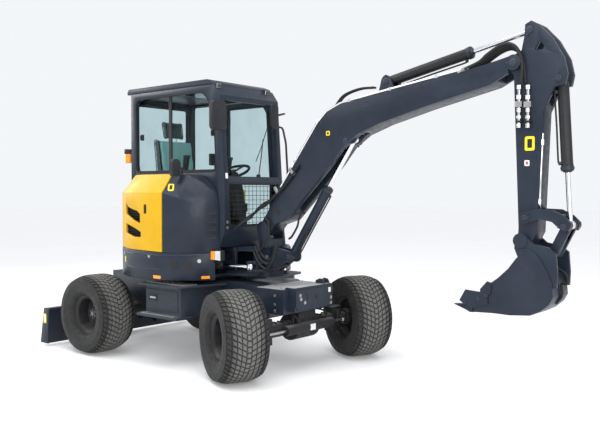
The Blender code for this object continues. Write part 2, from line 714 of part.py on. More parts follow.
def engine_block():
    block_body = block((-0.56, -0.30, 1.055 + GAP), (-0.20, 0.26, 1.37))
    node("engine", "engine", HOUSE, UPPER, [block_body])


# lines along the covers, (x from the slew axis, height)
SHOULDER_LINE = [(-1.0, 1.605), (0.28, 1.605), (0.54, 1.51), (0.70, 1.465)]  # where the bevel starts
BROW_LINE = [(0.30, 1.79), (0.42, 1.763), (0.52, 1.70), (0.585, 1.63), (0.635, 1.545), (0.68, 1.44)]


def height_at(line, x):
    """Height of a line at x."""
    for (x0, z0), (x1, z1) in zip(line, line[1:]):
        if x0 <= x <= x1:
            return z0 + (z1 - z0) * (x - x0) / (x1 - x0)
    return line[-1][1]


def cover_solid(inset):
    """The body that the hoods and the side cover are shells of, with its shoulder bevelled."""
    front = HOUSE_FRONT - inset
    wall = house_outline(inset, front=front)
    crown = house_outline(inset + COVER_BEVEL, front=front)
    return loft([
        (wall, lambda x: 0.92),
        (wall, lambda x: height_at(SHOULDER_LINE, x) - inset * 0.3),
        (crown, lambda x: COVER_TOP - inset),
    ])


def brow(drop):
    """Everything in front of the rounded front of the covers' top, lowered by a wall's thickness."""
    line = [(x - drop * 0.6, z - drop) for x, z in BROW_LINE]
    return side_plate(line + [(0.9, line[-1][1]), (0.9, 2.2), (line[0][0], 2.2)], -1, 1)


def less(whole, tool):
    """A helper solid with another one cut from it, ready to be a cutter itself."""
    step = whole.modifiers.new("less", "BOOLEAN")
    step.operation = "DIFFERENCE"
    step.object = tool
    graph = bpy.context.evaluated_depsgraph_get()
    graph.update()
    mesh = bpy.data.meshes.new_from_object(whole.evaluated_get(graph))
    for obj in (whole, tool):
        bpy.data.objects.remove(obj)
    return mesh_object("cutter", mesh)


def cover_cuts(clearance):
    """What is taken from a cover: its hollow, its front brow, room for the cab, and what is below it."""
    hollow = less(cover_solid(COVER_WALL), brow(COVER_WALL))
    cab = block((CAB_REAR - clearance, CAB_RIGHT - clearance, 0.9), (1.2, CAB_LEFT + clearance, 2.2))
    line = skirt_top(clearance)[:4]
    below = side_plate(line + [(0.80, 0.8), (-1.0, 0.8)], -1, 1)
    return [hollow, brow(0), cab, below]


def outside(low, high):
    """Everything outside a box, as a cutter that leaves only what is inside it."""
    return less(block((-1.6, -1.6, 0.5), (1.6, 1.6, 2.5)), block(low, high))


HOOD_HINGE_X = -TAIL_RADIUS + 0.012
HOOD_HINGE_Y = 0.035
HOOD_HINGE_RADIUS = 0.011


SIDE_VENTS = [
    [(-0.30, 1.512), (-0.24, 1.47), (-0.075, 1.435), (-0.035, 1.405), (-0.035, 1.315), (-0.13, 1.345),
    (-0.30, 1.405)],
    [(-0.30, 1.315), (-0.13, 1.28), (-0.025, 1.24), (-0.025, 1.19), (-0.13, 1.19), (-0.30, 1.222)],
]


def hood(side):
    """Half of the engine hood, opening about an upright hinge at the tail; side is +1 on the left."""
    y_low, y_high = sorted((side * SEAM / 2, side * 1.2))
    seam = SEAM_LEFT if side > 0 else SEAM_RIGHT
    keep = outside((-1.2, y_low, 0.8), (seam - SEAM / 2, y_high, 2.2))
    vents = []
    for low, high in ((1.17, 1.245), (1.30, 1.42)):
        outline = [(side * 0.05, high), (side * 0.34, low), (side * 0.34, low - 0.045), (side * 0.05, low)]
        vents.append(cross_plate(outline, -1.0, -0.66))
    if side < 0:
        vents += [side_plate(outline, -1.0, -0.72) for outline in SIDE_VENTS]
    foot = height_at(skirt_top(0)[:4], HOOD_HINGE_X - HOOD_HINGE_RADIUS) + GAP
    hinge_y = side * HOOD_HINGE_Y
    hinge = bar((HOOD_HINGE_X, hinge_y, foot), (HOOD_HINGE_X, hinge_y, 1.30), HOOD_HINGE_RADIUS, 12)
    name = "hood_left" if side > 0 else "hood_right"
    carrier = pivot(name + "_hinge", (SLEW_X + HOOD_HINGE_X, hinge_y, 1.3), HOUSE)
    node(name, "yellow", carrier, UPPER, [cover_solid(0)], [*cover_cuts(SEAM), keep, *vents], [hinge])


def side_cover():
    """The fixed dark cover on the right of the cab, with a rounded front shoulder."""
    keep = outside((SEAM_RIGHT + SEAM / 2, -1.2, 0.8), (0.70, 0, 2.2))
    node("side_cover", "graphite", HOUSE, UPPER, [cover_solid(0)], [*cover_cuts(GAP), keep])


# ---- house: cab ----------------------------------------------------------------------------
CAB_SIDE = [
    (CAB_REAR, 1.40), (-0.14, 1.40), (-0.14, CAB_FLOOR), (0.62, CAB_FLOOR), (CAB_FRONT, 1.24),
    (CAB_FRONT, CAB_KNEE), (CAB_BROW, 2.50), (0.56, CAB_EAVES), (CAB_REAR, CAB_EAVES),
]


def inset_outline(outline, amount):
    """An outline moved inwards by an amount on every side."""
    path = [Vector(point) for point in outline]
    area = sum(a.x * b.y - b.x * a.y for a, b in zip(path, path[1:] + path[:1]))
    sign = 1 if area > 0 else -1
    made = []
    for index, corner in enumerate(path):
        back = (corner - path[index - 1]).normalized()
        forth = (path[(index + 1) % len(path)] - corner).normalized()
        normal_back, normal_forth = Vector((-back.y, back.x)) * sign, Vector((-forth.y, forth.x)) * sign
        bisector = normal_back + normal_forth
        made.append(tuple(corner + bisector * (amount / (1 + normal_back.dot(normal_forth)))))
    return made


SIDE_WINDOW = [(-0.58, 1.80), (0.585, 1.80), (0.555, 2.36), (0.42, 2.54), (-0.58, 2.54)]
DOOR_REAR = -0.10


def door_outline(shrink):
    """The door opening in (x, z), or the door in it, smaller by a seam on every side."""
    outline = [(DOOR_REAR, 1.16), (0.57, 1.16), (0.62, 1.27), (0.62, 1.74), (0.575, 2.42), (0.50, 2.53)]
    outline += [(DOOR_REAR, 2.53)]
    return inset_outline(outline, shrink)


def lean_x(z):
    """x of the cab's front face at a height."""
    if z <= CAB_KNEE:
        return CAB_FRONT
    return CAB_FRONT + (CAB_BROW - CAB_FRONT) * (z - CAB_KNEE) / (2.50 - CAB_KNEE)


def cab_frame():
    shell = side_plate(CAB_SIDE, CAB_RIGHT, CAB_LEFT)
    cavity = side_plate(inset_outline(CAB_SIDE, CAB_WALL), CAB_RIGHT + CAB_WALL, CAB_LEFT - CAB_WALL)
    right = side_plate(closed_rounded(SIDE_WINDOW, 0.08), CAB_RIGHT - 0.1, CAB_RIGHT + 0.1)
    left_rear = side_plate([(-0.58, 1.80), (-0.19, 1.80), (-0.19, 2.53), (-0.58, 2.53)], CAB_LEFT - 0.1,
        CAB_LEFT + 0.1)
    doorway = side_plate(door_outline(0), CAB_LEFT - 0.1, CAB_LEFT + 0.1)
    y_low, y_high = CAB_RIGHT + 0.055, CAB_LEFT - 0.055
    front_low = block((0.45, y_low, 1.295), (0.9, y_high, 1.69))
    front_high = block((0.45, y_low, 1.755), (0.9, y_high, 2.455))
    rear = block((CAB_REAR - 0.1, y_low, 1.80), (CAB_REAR + 0.1, y_high, 2.50))
    roof = block((0.02, y_low, 2.50), (0.50, y_high, 2.8))
    node("cab_frame", "graphite", HOUSE, UPPER, [shell], [cavity, right, left_rear, doorway, front_low,
        front_high, rear, roof])


def cab_roof():
    outline = [(CAB_REAR - 0.07, CAB_EAVES + GAP), (0.555, CAB_EAVES + GAP), (0.53, ROOF_TOP - 0.025)]
    outline += [(0.46, ROOF_TOP), (CAB_REAR - 0.05, ROOF_TOP), (CAB_REAR - 0.07, ROOF_TOP - 0.02)]
    panel = side_plate(outline, CAB_RIGHT + 0.005, CAB_LEFT - 0.005)
    hatch = block((0.05, CAB_RIGHT + 0.09, 2.5), (0.45, CAB_LEFT - 0.09, 2.8))
    node("cab_roof", "graphite", HOUSE, UPPER, [panel], [hatch])


def cab_glass():
    """Panes against the inner faces of the cab's walls."""
    inner = CAB_WALL + GAP
    y_low, y_high = CAB_RIGHT + 0.05, CAB_LEFT - 0.05
    right = [(-0.605, 1.775), (0.615, 1.775), (0.58, 2.37), (0.44, 2.548), (-0.605, 2.548)]
    node("glass_right", "glass", HOUSE, UPPER, [side_plate(right, CAB_RIGHT + inner,
        CAB_RIGHT + inner + GLASS)])
    left = [(-0.605, 1.775), (-0.165, 1.775), (-0.165, 2.548), (-0.605, 2.548)]
    node("glass_left_rear", "glass", HOUSE, UPPER, [side_plate(left, CAB_LEFT - inner - GLASS,
        CAB_LEFT - inner)])
    rear = block((CAB_REAR + inner, y_low + 0.004, 1.775), (CAB_REAR + inner + GLASS, y_high - 0.004, 2.53))
    node("glass_rear", "glass", HOUSE, UPPER, [rear])
    front = [(lean_x(z) - 0.046 - slip, z) for slip, z in ((0, 1.268), (0, 1.70), (0.002, 2.485))]
    front += [(x - GLASS, z) for x, z in reversed(front)]
    node("windscreen", "glass", HOUSE, UPPER, [side_plate(front, y_low + 0.012, y_high - 0.012)])
    hatch = block((0.01, y_low, CAB_EAVES - CAB_WALL - GAP - GLASS),
        (0.51, y_high, CAB_EAVES - CAB_WALL - GAP))
    node("glass_roof", "glass", HOUSE, UPPER, [hatch])


def door():
    carrier = pivot("door_hinge", (SLEW_X + DOOR_REAR, CAB_LEFT + 0.012, 1.8), HOUSE)
    y_low, y_high = CAB_LEFT - 0.035, CAB_LEFT
    leaf = side_plate(door_outline(SEAM), y_low, y_high)
    pane = inset_outline(door_outline(0), 0.07)
    window = side_plate(pane, y_low - 0.1, y_high + 0.1)
    barrels = [bar((DOOR_REAR, CAB_LEFT + 0.012, z), (DOOR_REAR, CAB_LEFT + 0.012, z + 0.10), 0.0115,
        10) for z in (1.30, 2.30)]
    leaves = [block((DOOR_REAR, CAB_LEFT - 0.002, z + 0.01), (DOOR_REAR + 0.06, CAB_LEFT + 0.012,
        z + 0.09)) for z in (1.30, 2.30)]
    node("door", "graphite", carrier, UPPER, [leaf, *barrels, *leaves], [window])
    glass = inset_outline(pane, -0.012)
    node("glass_door", "glass", carrier, UPPER, [side_plate(glass, y_low - GAP - GLASS, y_low - GAP)])


CAB_MIDDLE = (CAB_RIGHT + CAB_LEFT) / 2
SEAT_PLATFORM = 1.40 + CAB_WALL  # the inside of the cab's raised rear floor


def seat():
    y = CAB_MIDDLE
    z = SEAT_PLATFORM + GAP
    base = block((-0.42, y - 0.15, z), (-0.12, y + 0.15, z + 0.10))
    cushion = side_plate(
        closed_rounded([(-0.46, z + 0.09), (0.02, z + 0.10), (0.03, z + 0.20), (-0.44, z + 0.19)], 0.04),
        y - 0.23, y + 0.23,
    )
    back = side_plate(
        closed_rounded([(-0.48, z + 0.12), (-0.38, z + 0.12), (-0.45, z + 0.72), (-0.54, z + 0.72)], 0.045),
        y - 0.22, y + 0.22,
    )
    rest = side_plate(
        closed_rounded([(-0.49, z + 0.70), (-0.43, z + 0.70), (-0.455, z + 0.90), (-0.54, z + 0.90)], 0.03),
        y - 0.12, y + 0.12,
    )
    node("seat", "trim", HOUSE, UPPER, [base, cushion, back, rest])


def consoles():
    """Armrest consoles with their pilot levers, joined by the plate that the seat stands over."""
    y = CAB_MIDDLE
    z = SEAT_PLATFORM + GAP
    pieces = [block((-0.11, y - 0.34, z), (-0.085, y + 0.34, z + 0.08))]
    for s in (-1, 1):
        low, high = sorted((y + s * 0.245, y + s * 0.34))
        pieces.append(block((-0.40, low, z), (-0.086, high, z + 0.22)))
        pieces.append(block((-0.38, low, z + 0.20), (0.06, high, z + 0.27)))
        middle = y + s * 0.29
        pieces.append(bar((0.02, middle, z + 0.26), (0.045, middle, z + 0.40), 0.013, 10))
        pieces.append(bar((0.042, middle, z + 0.38), (0.06, middle, z + 0.50), 0.022, 10, 0.028))
    node("consoles", "trim", HOUSE, UPPER, pieces)


def steering_column():
    y = CAB_MIDDLE
    floor = CAB_FLOOR + CAB_WALL + GAP
    foot = block((0.42, y - 0.08, floor), (0.57, y + 0.08, floor + 0.10))
    column = side_plate([(0.44, floor + 0.05), (0.56, floor + 0.05), (0.47, 1.72), (0.40, 1.70)],
        y - 0.055, y + 0.055)
    head = bar((0.43, y, 1.68), (0.40, y, 1.79), 0.05)
    centre, tilt = Vector((0.395, y, 1.80)), Matrix.Rotation(math.radians(-22), 3, "Y")
    ring = [centre + tilt @ Vector((0.17 * math.cos(a), 0.17 * math.sin(a), 0)) for a in
            [math.tau * step / 20 for step in range(20)]]
    rim = tube(ring, 0.014, closed=True, resolution=1)
    spokes = [bar(centre, ring[index], 0.010, 8) for index in (0, 7, 13)]
    hub = bar(centre - tilt @ Vector((0, 0, 0.03)), centre + tilt @ Vector((0, 0, 0.02)), 0.035, 12)
    node("steering_column", "trim", HOUSE, UPPER, [foot, column, head, rim, *spokes, hub])


def mirror(name, foot, outward, elbow, centre, size):
    """A mirror head on a bent arm, which stands square on a face at foot and leaves it along outward."""
    start = Vector(foot) + Vector(outward) * GAP
    arm = tube([start, Vector(foot) + Vector(outward) * 0.04, elbow, centre], 0.010, resolution=1)
    half = Vector(size) / 2
    outline = closed_rounded([(-half.y, -half.z), (half.y, -half.z), (half.y, half.z), (-half.y, half.z)],
        0.04)
    head = cross_plate([(centre[1] + y, centre[2] + z) for y, z in outline], centre[0] - half.x,
        centre[0] + half.x)
    node(name, "trim", HOUSE, UPPER, [head, arm])


def mirrors():
    mirror("mirror_right", (0.60, CAB_RIGHT, 2.34), (0, -1, 0), (0.66, CAB_RIGHT - 0.06, 2.34),
           (0.70, CAB_RIGHT - 0.085, 2.30), (0.05, 0.17, 0.26))
    mirror("mirror_left", (0.60, CAB_LEFT, 2.38), (0, 1, 0), (0.72, CAB_LEFT, 2.38),
           (0.735, 0.17, 2.34), (0.03, 0.10, 0.24))
    mirror("mirror_side", (0.31, -0.63, COVER_TOP), (0, 0, 1), (0.34, -0.70, 1.865),
           (0.36, -0.76, 1.83), (0.05, 0.09, 0.16))


def beacon():
    """The turning light on its bracket behind the cab's right rear pillar."""
    x, y = CAB_REAR - 0.075, CAB_RIGHT + 0.026
    arm = block((CAB_REAR - 0.08, y - 0.015, 2.005), (CAB_REAR - GAP, y + 0.015, 2.02))
    base = bar((x, y, 2.0), (x, y, 2.05), 0.045)
    lens = bar((x, y, 1.91), (x, y, 2.01), 0.036, SIDES, 0.040)
    node("beacon", "amber", HOUSE, UPPER, [base, arm, lens])


def grab_rail():
    """The loop by the door that the operator holds when climbing in."""
    y = CAB_LEFT + GAP
    path = [(0.55, y, 2.26), (0.55, y + 0.06, 2.26), (0.62, y + 0.085, 2.26), (0.665, y + 0.085, 2.10)]
    path += [(0.70, y + 0.085, 1.60), (0.64, y + 0.06, 1.52), (0.64, y, 1.52)]
    rail = tube(rounded(path, 0.03, 2), 0.0105, resolution=1)
    node("grab_rail", "trim", HOUSE, UPPER, [rail])


# ---- swing post ----------------------------------------------------------------------------
POST_FRONT = 0.93


def swing_post():
    y, axis = BOOM_Y, SWING_X
    hub = bar((axis, y, 0.8705), (axis, y, 1.0545), 0.072)
    web = block((axis, y - 0.055, 0.90), (axis + 0.16, y + 0.055, 1.03))
    body = block((axis + 0.10, y - 0.105, 0.83), (axis + 0.20, y + 0.105, 1.18))
    boom_ear = [(axis + 0.10, 1.10), (axis + 0.21, 1.10), *arc(BOOM_FOOT, 0.068, -20, 180, 10)]
    boom_ears = ears(boom_ear, BOOM_HALF - 0.018 + SIDE_PLAY, BOOM_HALF + 0.012, y)
    cylinder_lug = [(axis + 0.18, 0.86), (axis + 0.18, 1.12), *arc(BOOM_CYL_FOOT, 0.052, 60, -120, 10)]
    cylinder_lugs = ears(cylinder_lug, LUG_POST, LUG_POST + 0.024, y)
    eye = SWING_CYL_EYE
    fork = [(axis + 0.11, y - 0.07), (axis + 0.19, y - 0.07), (eye[0] + 0.03, eye[1] + 0.01),
        *arc(eye, 0.034, -20, -200, 8)]
    forks = [level_plate(fork, SWING_CYL_Z + 0.0255, SWING_CYL_Z + 0.05),
        level_plate(fork, SWING_CYL_Z - 0.05, SWING_CYL_Z - 0.0255)]
    node("swing_post", "graphite", SWING, UPPER, [body, hub, web, *boom_ears, *cylinder_lugs, *forks])


def swing_cylinder():
    foot = Vector((*SWING_CYL_FOOT, SWING_CYL_Z))
    eye = Vector((*SWING_CYL_EYE, SWING_CYL_Z))
    along = (eye - foot).normalized()
    length = (eye - foot).length
    half, foot_half = Vector((0, 0, 0.025)), Vector((0, 0, SWING_FOOT_HALF))
    end = foot + along * length * 0.62
    barrel = bar(foot + along * 0.02, end, 0.036)
    foot_eye = bar(foot - foot_half, foot + foot_half, 0.033)
    bore = bar(end - along * 0.445, end + along * 0.02, 0.0185)
    node("swing_barrel", "graphite", SWING_BARREL, UPPER, [barrel, foot_eye], [bore])
    rod = bar(end - along * 0.26, eye - along * 0.015, 0.018)
    rod_eye = bar(eye - half, eye + half, 0.031)
    node("swing_rod", "chrome", SWING_ROD, UPPER, [rod, rod_eye])


# ---- boom ----------------------------------------------------------------------------------
BOOM_TOP = [(1.14, 1.65), (1.56, 2.20), (1.66, 2.29), (1.80, 2.345), (2.13, 2.395), (3.11, 2.535),
    (3.30, 2.575)]
BOOM_UNDER = [(3.29, 2.455), (3.15, 2.385), (2.60, 2.265), (2.20, 2.165), (1.98, 2.09), (1.83, 1.99),
    (1.70, 1.84), (1.20, 1.36)]
FORK_HALF = ARM_HALF + SIDE_PLAY  # inside of the fork at the boom's tip
BARREL_ROOM = 0.048  # half-width of the trough that the lowered boom's cylinder lies in


def boom():
    y = BOOM_Y
    body = side_plate(BOOM_UNDER + [BOOM_FOOT, (1.00, 1.46)] + BOOM_TOP, y - BOOM_HALF, y + BOOM_HALF)
    foot_inner = BOOM_HALF - 0.018
    boss = pin(BOOM_FOOT, 0.066, y - foot_inner, y + foot_inner)
    neck = side_plate([(0.90, 1.24), (0.97, 1.22), (1.12, 1.38), (1.02, 1.50), (0.90, 1.34)],
        y - foot_inner, y + foot_inner)
    tip = [pin(BOOM_TIP, 0.056, y + low, y + high) for low, high in ((FORK_HALF, BOOM_HALF + 0.006),
        (-BOOM_HALF - 0.006, -FORK_HALF))]
    bracket = strap((1.93, 2.16), 0.07, BOOM_CYL_EYE, 0.045)
    brackets = ears(bracket, LUG_BOOM_UNDER, LUG_BOOM_UNDER + 0.02, y)
    saddle = strap((2.24, 2.40), 0.08, ARM_CYL_FOOT, 0.045)
    saddles = ears(saddle, LUG_BOOM_TOP, LUG_BOOM_TOP + 0.02, y)
    pieces = [body, boss, neck, *tip, *brackets, *saddles]
    fork_gap = block((3.20, y - FORK_HALF, 2.2), (3.6, y + FORK_HALF, 2.8))
    beside_ears = [(0.80, 1.10), (1.00, 1.10), (1.06, 1.30), (1.02, 1.40), (0.96, 1.50), (0.80, 1.50)]
    ear_gaps = ears(beside_ears, foot_inner, 0.3, y)
    slot = side_plate([(1.28, 1.30), (1.36, 1.66), (1.52, 2.02), (1.66, 2.18), (1.86, 2.26), (2.02, 2.24),
        (2.02, 2.00), (1.85, 1.90)], y - LUG_BOOM_UNDER, y + LUG_BOOM_UNDER)
    trough_outline = [(1.25, 1.30), (1.28, 1.51), (1.60, 1.87), (1.74, 2.03), (1.85, 1.95), (1.70, 1.75)]
    trough = side_plate(trough_outline, y - BARREL_ROOM, y + BARREL_ROOM)
    node("boom", "graphite", BOOM, UPPER, pieces, [fork_gap, *ear_gaps, slot, trough])


def beside(path, amount):
    """An open path moved to its left by an amount."""
    points = [Vector(point) for point in path]
    made = []
    for index, point in enumerate(points):
        ahead = (points[min(index + 1, len(points) - 1)] - point).normalized()
        behind = (point - points[max(index - 1, 0)]).normalized()
        ahead, behind = ahead or behind, behind or ahead
        normals = Vector((-ahead.y, ahead.x)), Vector((-behind.y, behind.x))
        made.append(point + (normals[0] + normals[1]) * (amount / (1 + normals[0].dot(normals[1]))))
    return made


PIPE_RADIUS = 0.008
PIPE_LIFT = 0.014  # from the boom's top to a pipe's middle


def boom_pipes():
    """Steel pipes along the right of the boom's top, held by clamps that stand on it."""
    line = beside(BOOM_TOP[:-1], PIPE_LIFT)
    line[-1] = line[-2].lerp(line[-1], 0.85)
    pieces = []
    for index in range(2):
        y = BOOM_Y - 0.092 + 0.018 * index
        pieces.append(tube([(point.x, y, point.y) for point in line], PIPE_RADIUS, resolution=1))
    for first, share in ((0, 0.4), (3, 0.3), (4, 0.2), (4, 0.7)):
        middle = line[first].lerp(line[first + 1], share)
        along = (line[first + 1] - line[first]).normalized() * 0.012
        up = Vector((-along.y, along.x)).normalized()
        low, high = up * (GAP - PIPE_LIFT), up * (PIPE_RADIUS + 0.004)
        outline = [middle - along + low, middle + along + low, middle + along + high, middle - along + high]
        pieces.append(side_plate(outline, BOOM_Y - 0.103, BOOM_Y - 0.0655))
    node("boom_pipes", "chrome", BOOM, UPPER, pieces)


def boom_cylinder():
    cylinder_pair(
        ("boom_barrel", "boom_rod"), (BOOM_BARREL,
        BOOM_ROD), at_plane(BOOM_CYL_FOOT), at_plane(BOOM_CYL_EYE),
        0.042, 0.022, 0.60, (LUG_POST - SIDE_PLAY, LUG_BOOM_UNDER - SIDE_PLAY), (0.22, 0.33), UPPER,
    )


def at_plane(point):
    return (point[0], BOOM_Y, point[1])


# ---- arm and bucket ------------------------------------------------------------------------
ARM_OUTLINE = [
    (3.40, 2.71), (3.405, 2.79), (3.45, 2.81), (3.50, 2.78), (3.60, 2.67), (3.68, 2.53), (3.705, 2.42),
    (3.69, 2.345), (3.62, 2.335), (3.585, 2.27), (3.54, 2.17), (3.505, 1.33), (3.46, 1.24),
    (3.40, 1.225), (3.365, 1.26), (3.37, 1.36), (3.325, 2.44), (3.28, 2.50), (3.29, 2.57), (3.38, 2.61),
]


def arm():
    y = BOOM_Y
    body = side_plate(ARM_OUTLINE, y - ARM_HALF, y + ARM_HALF)
    pivot_boss = pin(BOOM_TIP, 0.052, y - ARM_HALF, y + ARM_HALF)
    lever_boss = pin(LEVER_PIN, 0.038, y - ARM_HALF - 0.004, y + ARM_HALF + 0.004)
    bucket_boss = pin(BUCKET_PIN, 0.044, y - ARM_HALF - 0.030, y + ARM_HALF + 0.030)
    slot = side_plate([(3.35, 2.64), (3.50, 2.55), (3.56, 2.20), (3.80, 2.20), (3.80, 3.0), (3.30, 3.0)],
        y - LUG_ARM, y + LUG_ARM)
    hole = side_plate(closed_rounded([(3.47, 2.60), (3.51, 2.67), (3.56, 2.60)], 0.02), y - 0.2, y + 0.2)
    node("arm", "graphite", ARM, UPPER, [body, pivot_boss, lever_boss, bucket_boss], [slot, hole])


def arm_cylinder():
    cylinder_pair(
        ("arm_barrel", "arm_rod"), (ARM_BARREL, ARM_ROD), at_plane(ARM_CYL_FOOT), at_plane(ARM_CYL_EYE),
        0.042, 0.020, 0.60, (LUG_BOOM_TOP - SIDE_PLAY, LUG_ARM - SIDE_PLAY), (0.17, 0.28), UPPER,
    )


def bucket_cylinder():
    cylinder_pair(
        ("bucket_barrel", "bucket_rod"), (BUCKET_BARREL,
        BUCKET_ROD), at_plane(BUCKET_CYL_FOOT), at_plane(LEVER_END),
        0.040, 0.018, 0.63, (LUG_ARM - SIDE_PLAY, LUG_LEVER - SIDE_PLAY), (0.14, 0.27), UPPER,
    )


LEVER_INNER = ARM_HALF + 0.004 + SIDE_PLAY
EAR_INNER = ARM_HALF + 0.030 + SIDE_PLAY


def lever():
    """The curved rocker: a plate each side of the arm, joined by a cross tube behind it."""
    y = BOOM_Y
    back = [(3.422, 1.472), (3.50, 1.495), (3.62, 1.49), (3.70, 1.45), (3.752, 1.40)]
    front = [(3.735, 1.345), (3.69, 1.345), (3.62, 1.405), (3.53, 1.425), (3.44, 1.39), (3.40, 1.40),
        (3.385, 1.44)]
    plates = ears(back + front, LEVER_INNER, LEVER_INNER + 0.02, y)
    ends = [pin(LEVER_PIN, 0.042, y + s * LEVER_INNER, y + s * (LEVER_INNER + 0.024)) for s in (-1, 1)]
    tips = [pin(LEVER_END, 0.040, y + s * 0.0605, y + s * (LEVER_INNER + 0.024)) for s in (-1, 1)]
    cross = pin((3.650, 1.442), 0.016, y - LEVER_INNER - 0.005, y + LEVER_INNER + 0.005, 12)
    node("lever", "graphite", LEVER, UPPER, [*plates, *ends, *tips, cross])


def link():
    """The push link: two plates joined near its lower end, with the rod's eye between its upper ends."""
    y = BOOM_Y
    outline = strap(LEVER_END, 0.034, LINK_PIN, 0.034)
    plates = ears(outline, LUG_LEVER, 0.060, y)
    low, high = Vector(LEVER_END).lerp(Vector(LINK_PIN), 0.55), Vector(LINK_PIN)
    web = side_plate(strap(low, 0.020, high, 0.030), y - 0.04, y + 0.04)
    node("link", "graphite", LINK, UPPER, [*plates, web])


BUCKET_WALL = 0.014
# the bucket's side, (x from the slew axis, height): round the back, then up the front edge
BUCKET_BACK = [
    (3.385, 1.150), (3.540, 1.150), (3.600, 1.075), (3.640, 0.985), (3.648, 0.890), (3.621, 0.839),
    (3.558, 0.785), (3.486, 0.749), (3.339, 0.736), (3.209, 0.738), (3.036, 0.731),
]
BUCKET_FRONT = [(3.000, 0.752), (3.050, 0.790), (3.122, 0.895), (3.192, 0.957), (3.246, 0.997),
    (3.321, 1.067)]


def bucket():
    """A trenching bucket with side cutters and three teeth, and the ears of its coupler."""
    y = BOOM_Y
    inner = BUCKET_HALF - BUCKET_WALL
    solid = side_plate(BUCKET_BACK + BUCKET_FRONT, y - BUCKET_HALF, y + BUCKET_HALF)
    inner_back = inset_outline(BUCKET_BACK + BUCKET_FRONT, BUCKET_WALL)[1 : len(BUCKET_BACK) - 1]
    mouth = [(3.07, 0.768), (2.86, 0.815), (2.80, 0.95), (3.20, 1.30), (3.38, 1.17), (3.40, 1.136)]
    hollow = side_plate(inner_back + mouth, y - inner, y + inner)
    edge = BUCKET_HALF + 0.012
    lip_outline = [(2.955, 0.768), (3.05, 0.765), (3.06, 0.731), (3.03, 0.731)]
    lip = side_plate(lip_outline, y - edge - 0.001, y + edge + 0.001)
    tooth = [(2.893, 0.779), (2.97, 0.785), (3.01, 0.775), (3.01, 0.738)]
    teeth = [side_plate(tooth, y + middle - 0.022, y + middle + 0.022) for middle in (-0.12, 0, 0.12)]
    cutter = [(2.946, 0.811), (2.994, 0.893), (3.165, 0.881), (3.175, 0.80), (3.03, 0.755)]
    heel = [(3.110, 0.905), (3.165, 0.966), (3.20, 0.957), (3.19, 0.87), (3.12, 0.86)]
    cutters = [*ears(cutter, BUCKET_HALF - 0.002, edge, y), *ears(heel, BUCKET_HALF - 0.003, edge - 0.003, y)]
    cheek = [(3.385, 1.12), (3.402, 1.213), (3.455, 1.212), (3.515, 1.19), (3.56, 1.14), (3.60, 1.07),
        (3.50, 1.0)]
    ear = [
        (3.362, 1.215), (3.40, 1.125), (3.56, 1.10), (3.605, 1.04), (3.64, 0.95), (3.668, 0.955),
        (3.672, 1.05), (3.66, 1.19), (3.61, 1.228), (3.50, 1.25), (3.42, 1.32), (3.37, 1.31),
    ]
    plates = [*ears(cheek, inner + 0.001, BUCKET_HALF + 0.001, y)]
    plates += ears(ear, EAR_INNER, EAR_INNER + 0.022, y)
    bosses = [pin(BUCKET_PIN, 0.052, y + s * EAR_INNER, y + s * (EAR_INNER + 0.028)) for s in (-1, 1)]
    node("bucket", "graphite", BUCKET, UPPER, [solid, lip, *teeth, *cutters, *plates, *bosses], [hollow])


# ---- the machine ---------------------------------------------------------------------------
def build():
    chassis_frame()
    rear_axle()
    front_axle()
    drive_shaft()
    slew_ring()
    running_gear()
    steering_rod()
    for side in (1, -1):
        step_box(side)
        hood(side)
    blade()
    blade_cylinder()
    counterweight()
    turntable_frame()
    engine_block()
    side_cover()
    cab_frame()
    cab_roof()
    cab_glass()
    door()
    seat()
    consoles()
    steering_column()
    mirrors()
    beacon()
    grab_rail()
    swing_post()
    swing_cylinder()
    boom()
    boom_pipes()
    boom_cylinder()
    arm()
    arm_cylinder()
    bucket_cylinder()
    lever()
    link()
    bucket()


build()
REAR_END = BLADE_X - 0.09
FRONT_END = SLEW_X + 3.763
ROOT.location.x = -(REAR_END + FRONT_END) / 2
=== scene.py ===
# %% [markdown]
# # A compact wheeled excavator, dressed for the studio
#
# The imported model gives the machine's pieces at their real size, and the bodies that they move with.
# This lesson adds what makes it look like the real machine: paint that has seen dust, moulded rubber
# tread, tinted glass, hoses, lamps and stitched cushions. Nothing that the model holds is moved.

import json
import math

import bmesh
import bpy
from mathutils import Matrix, Vector

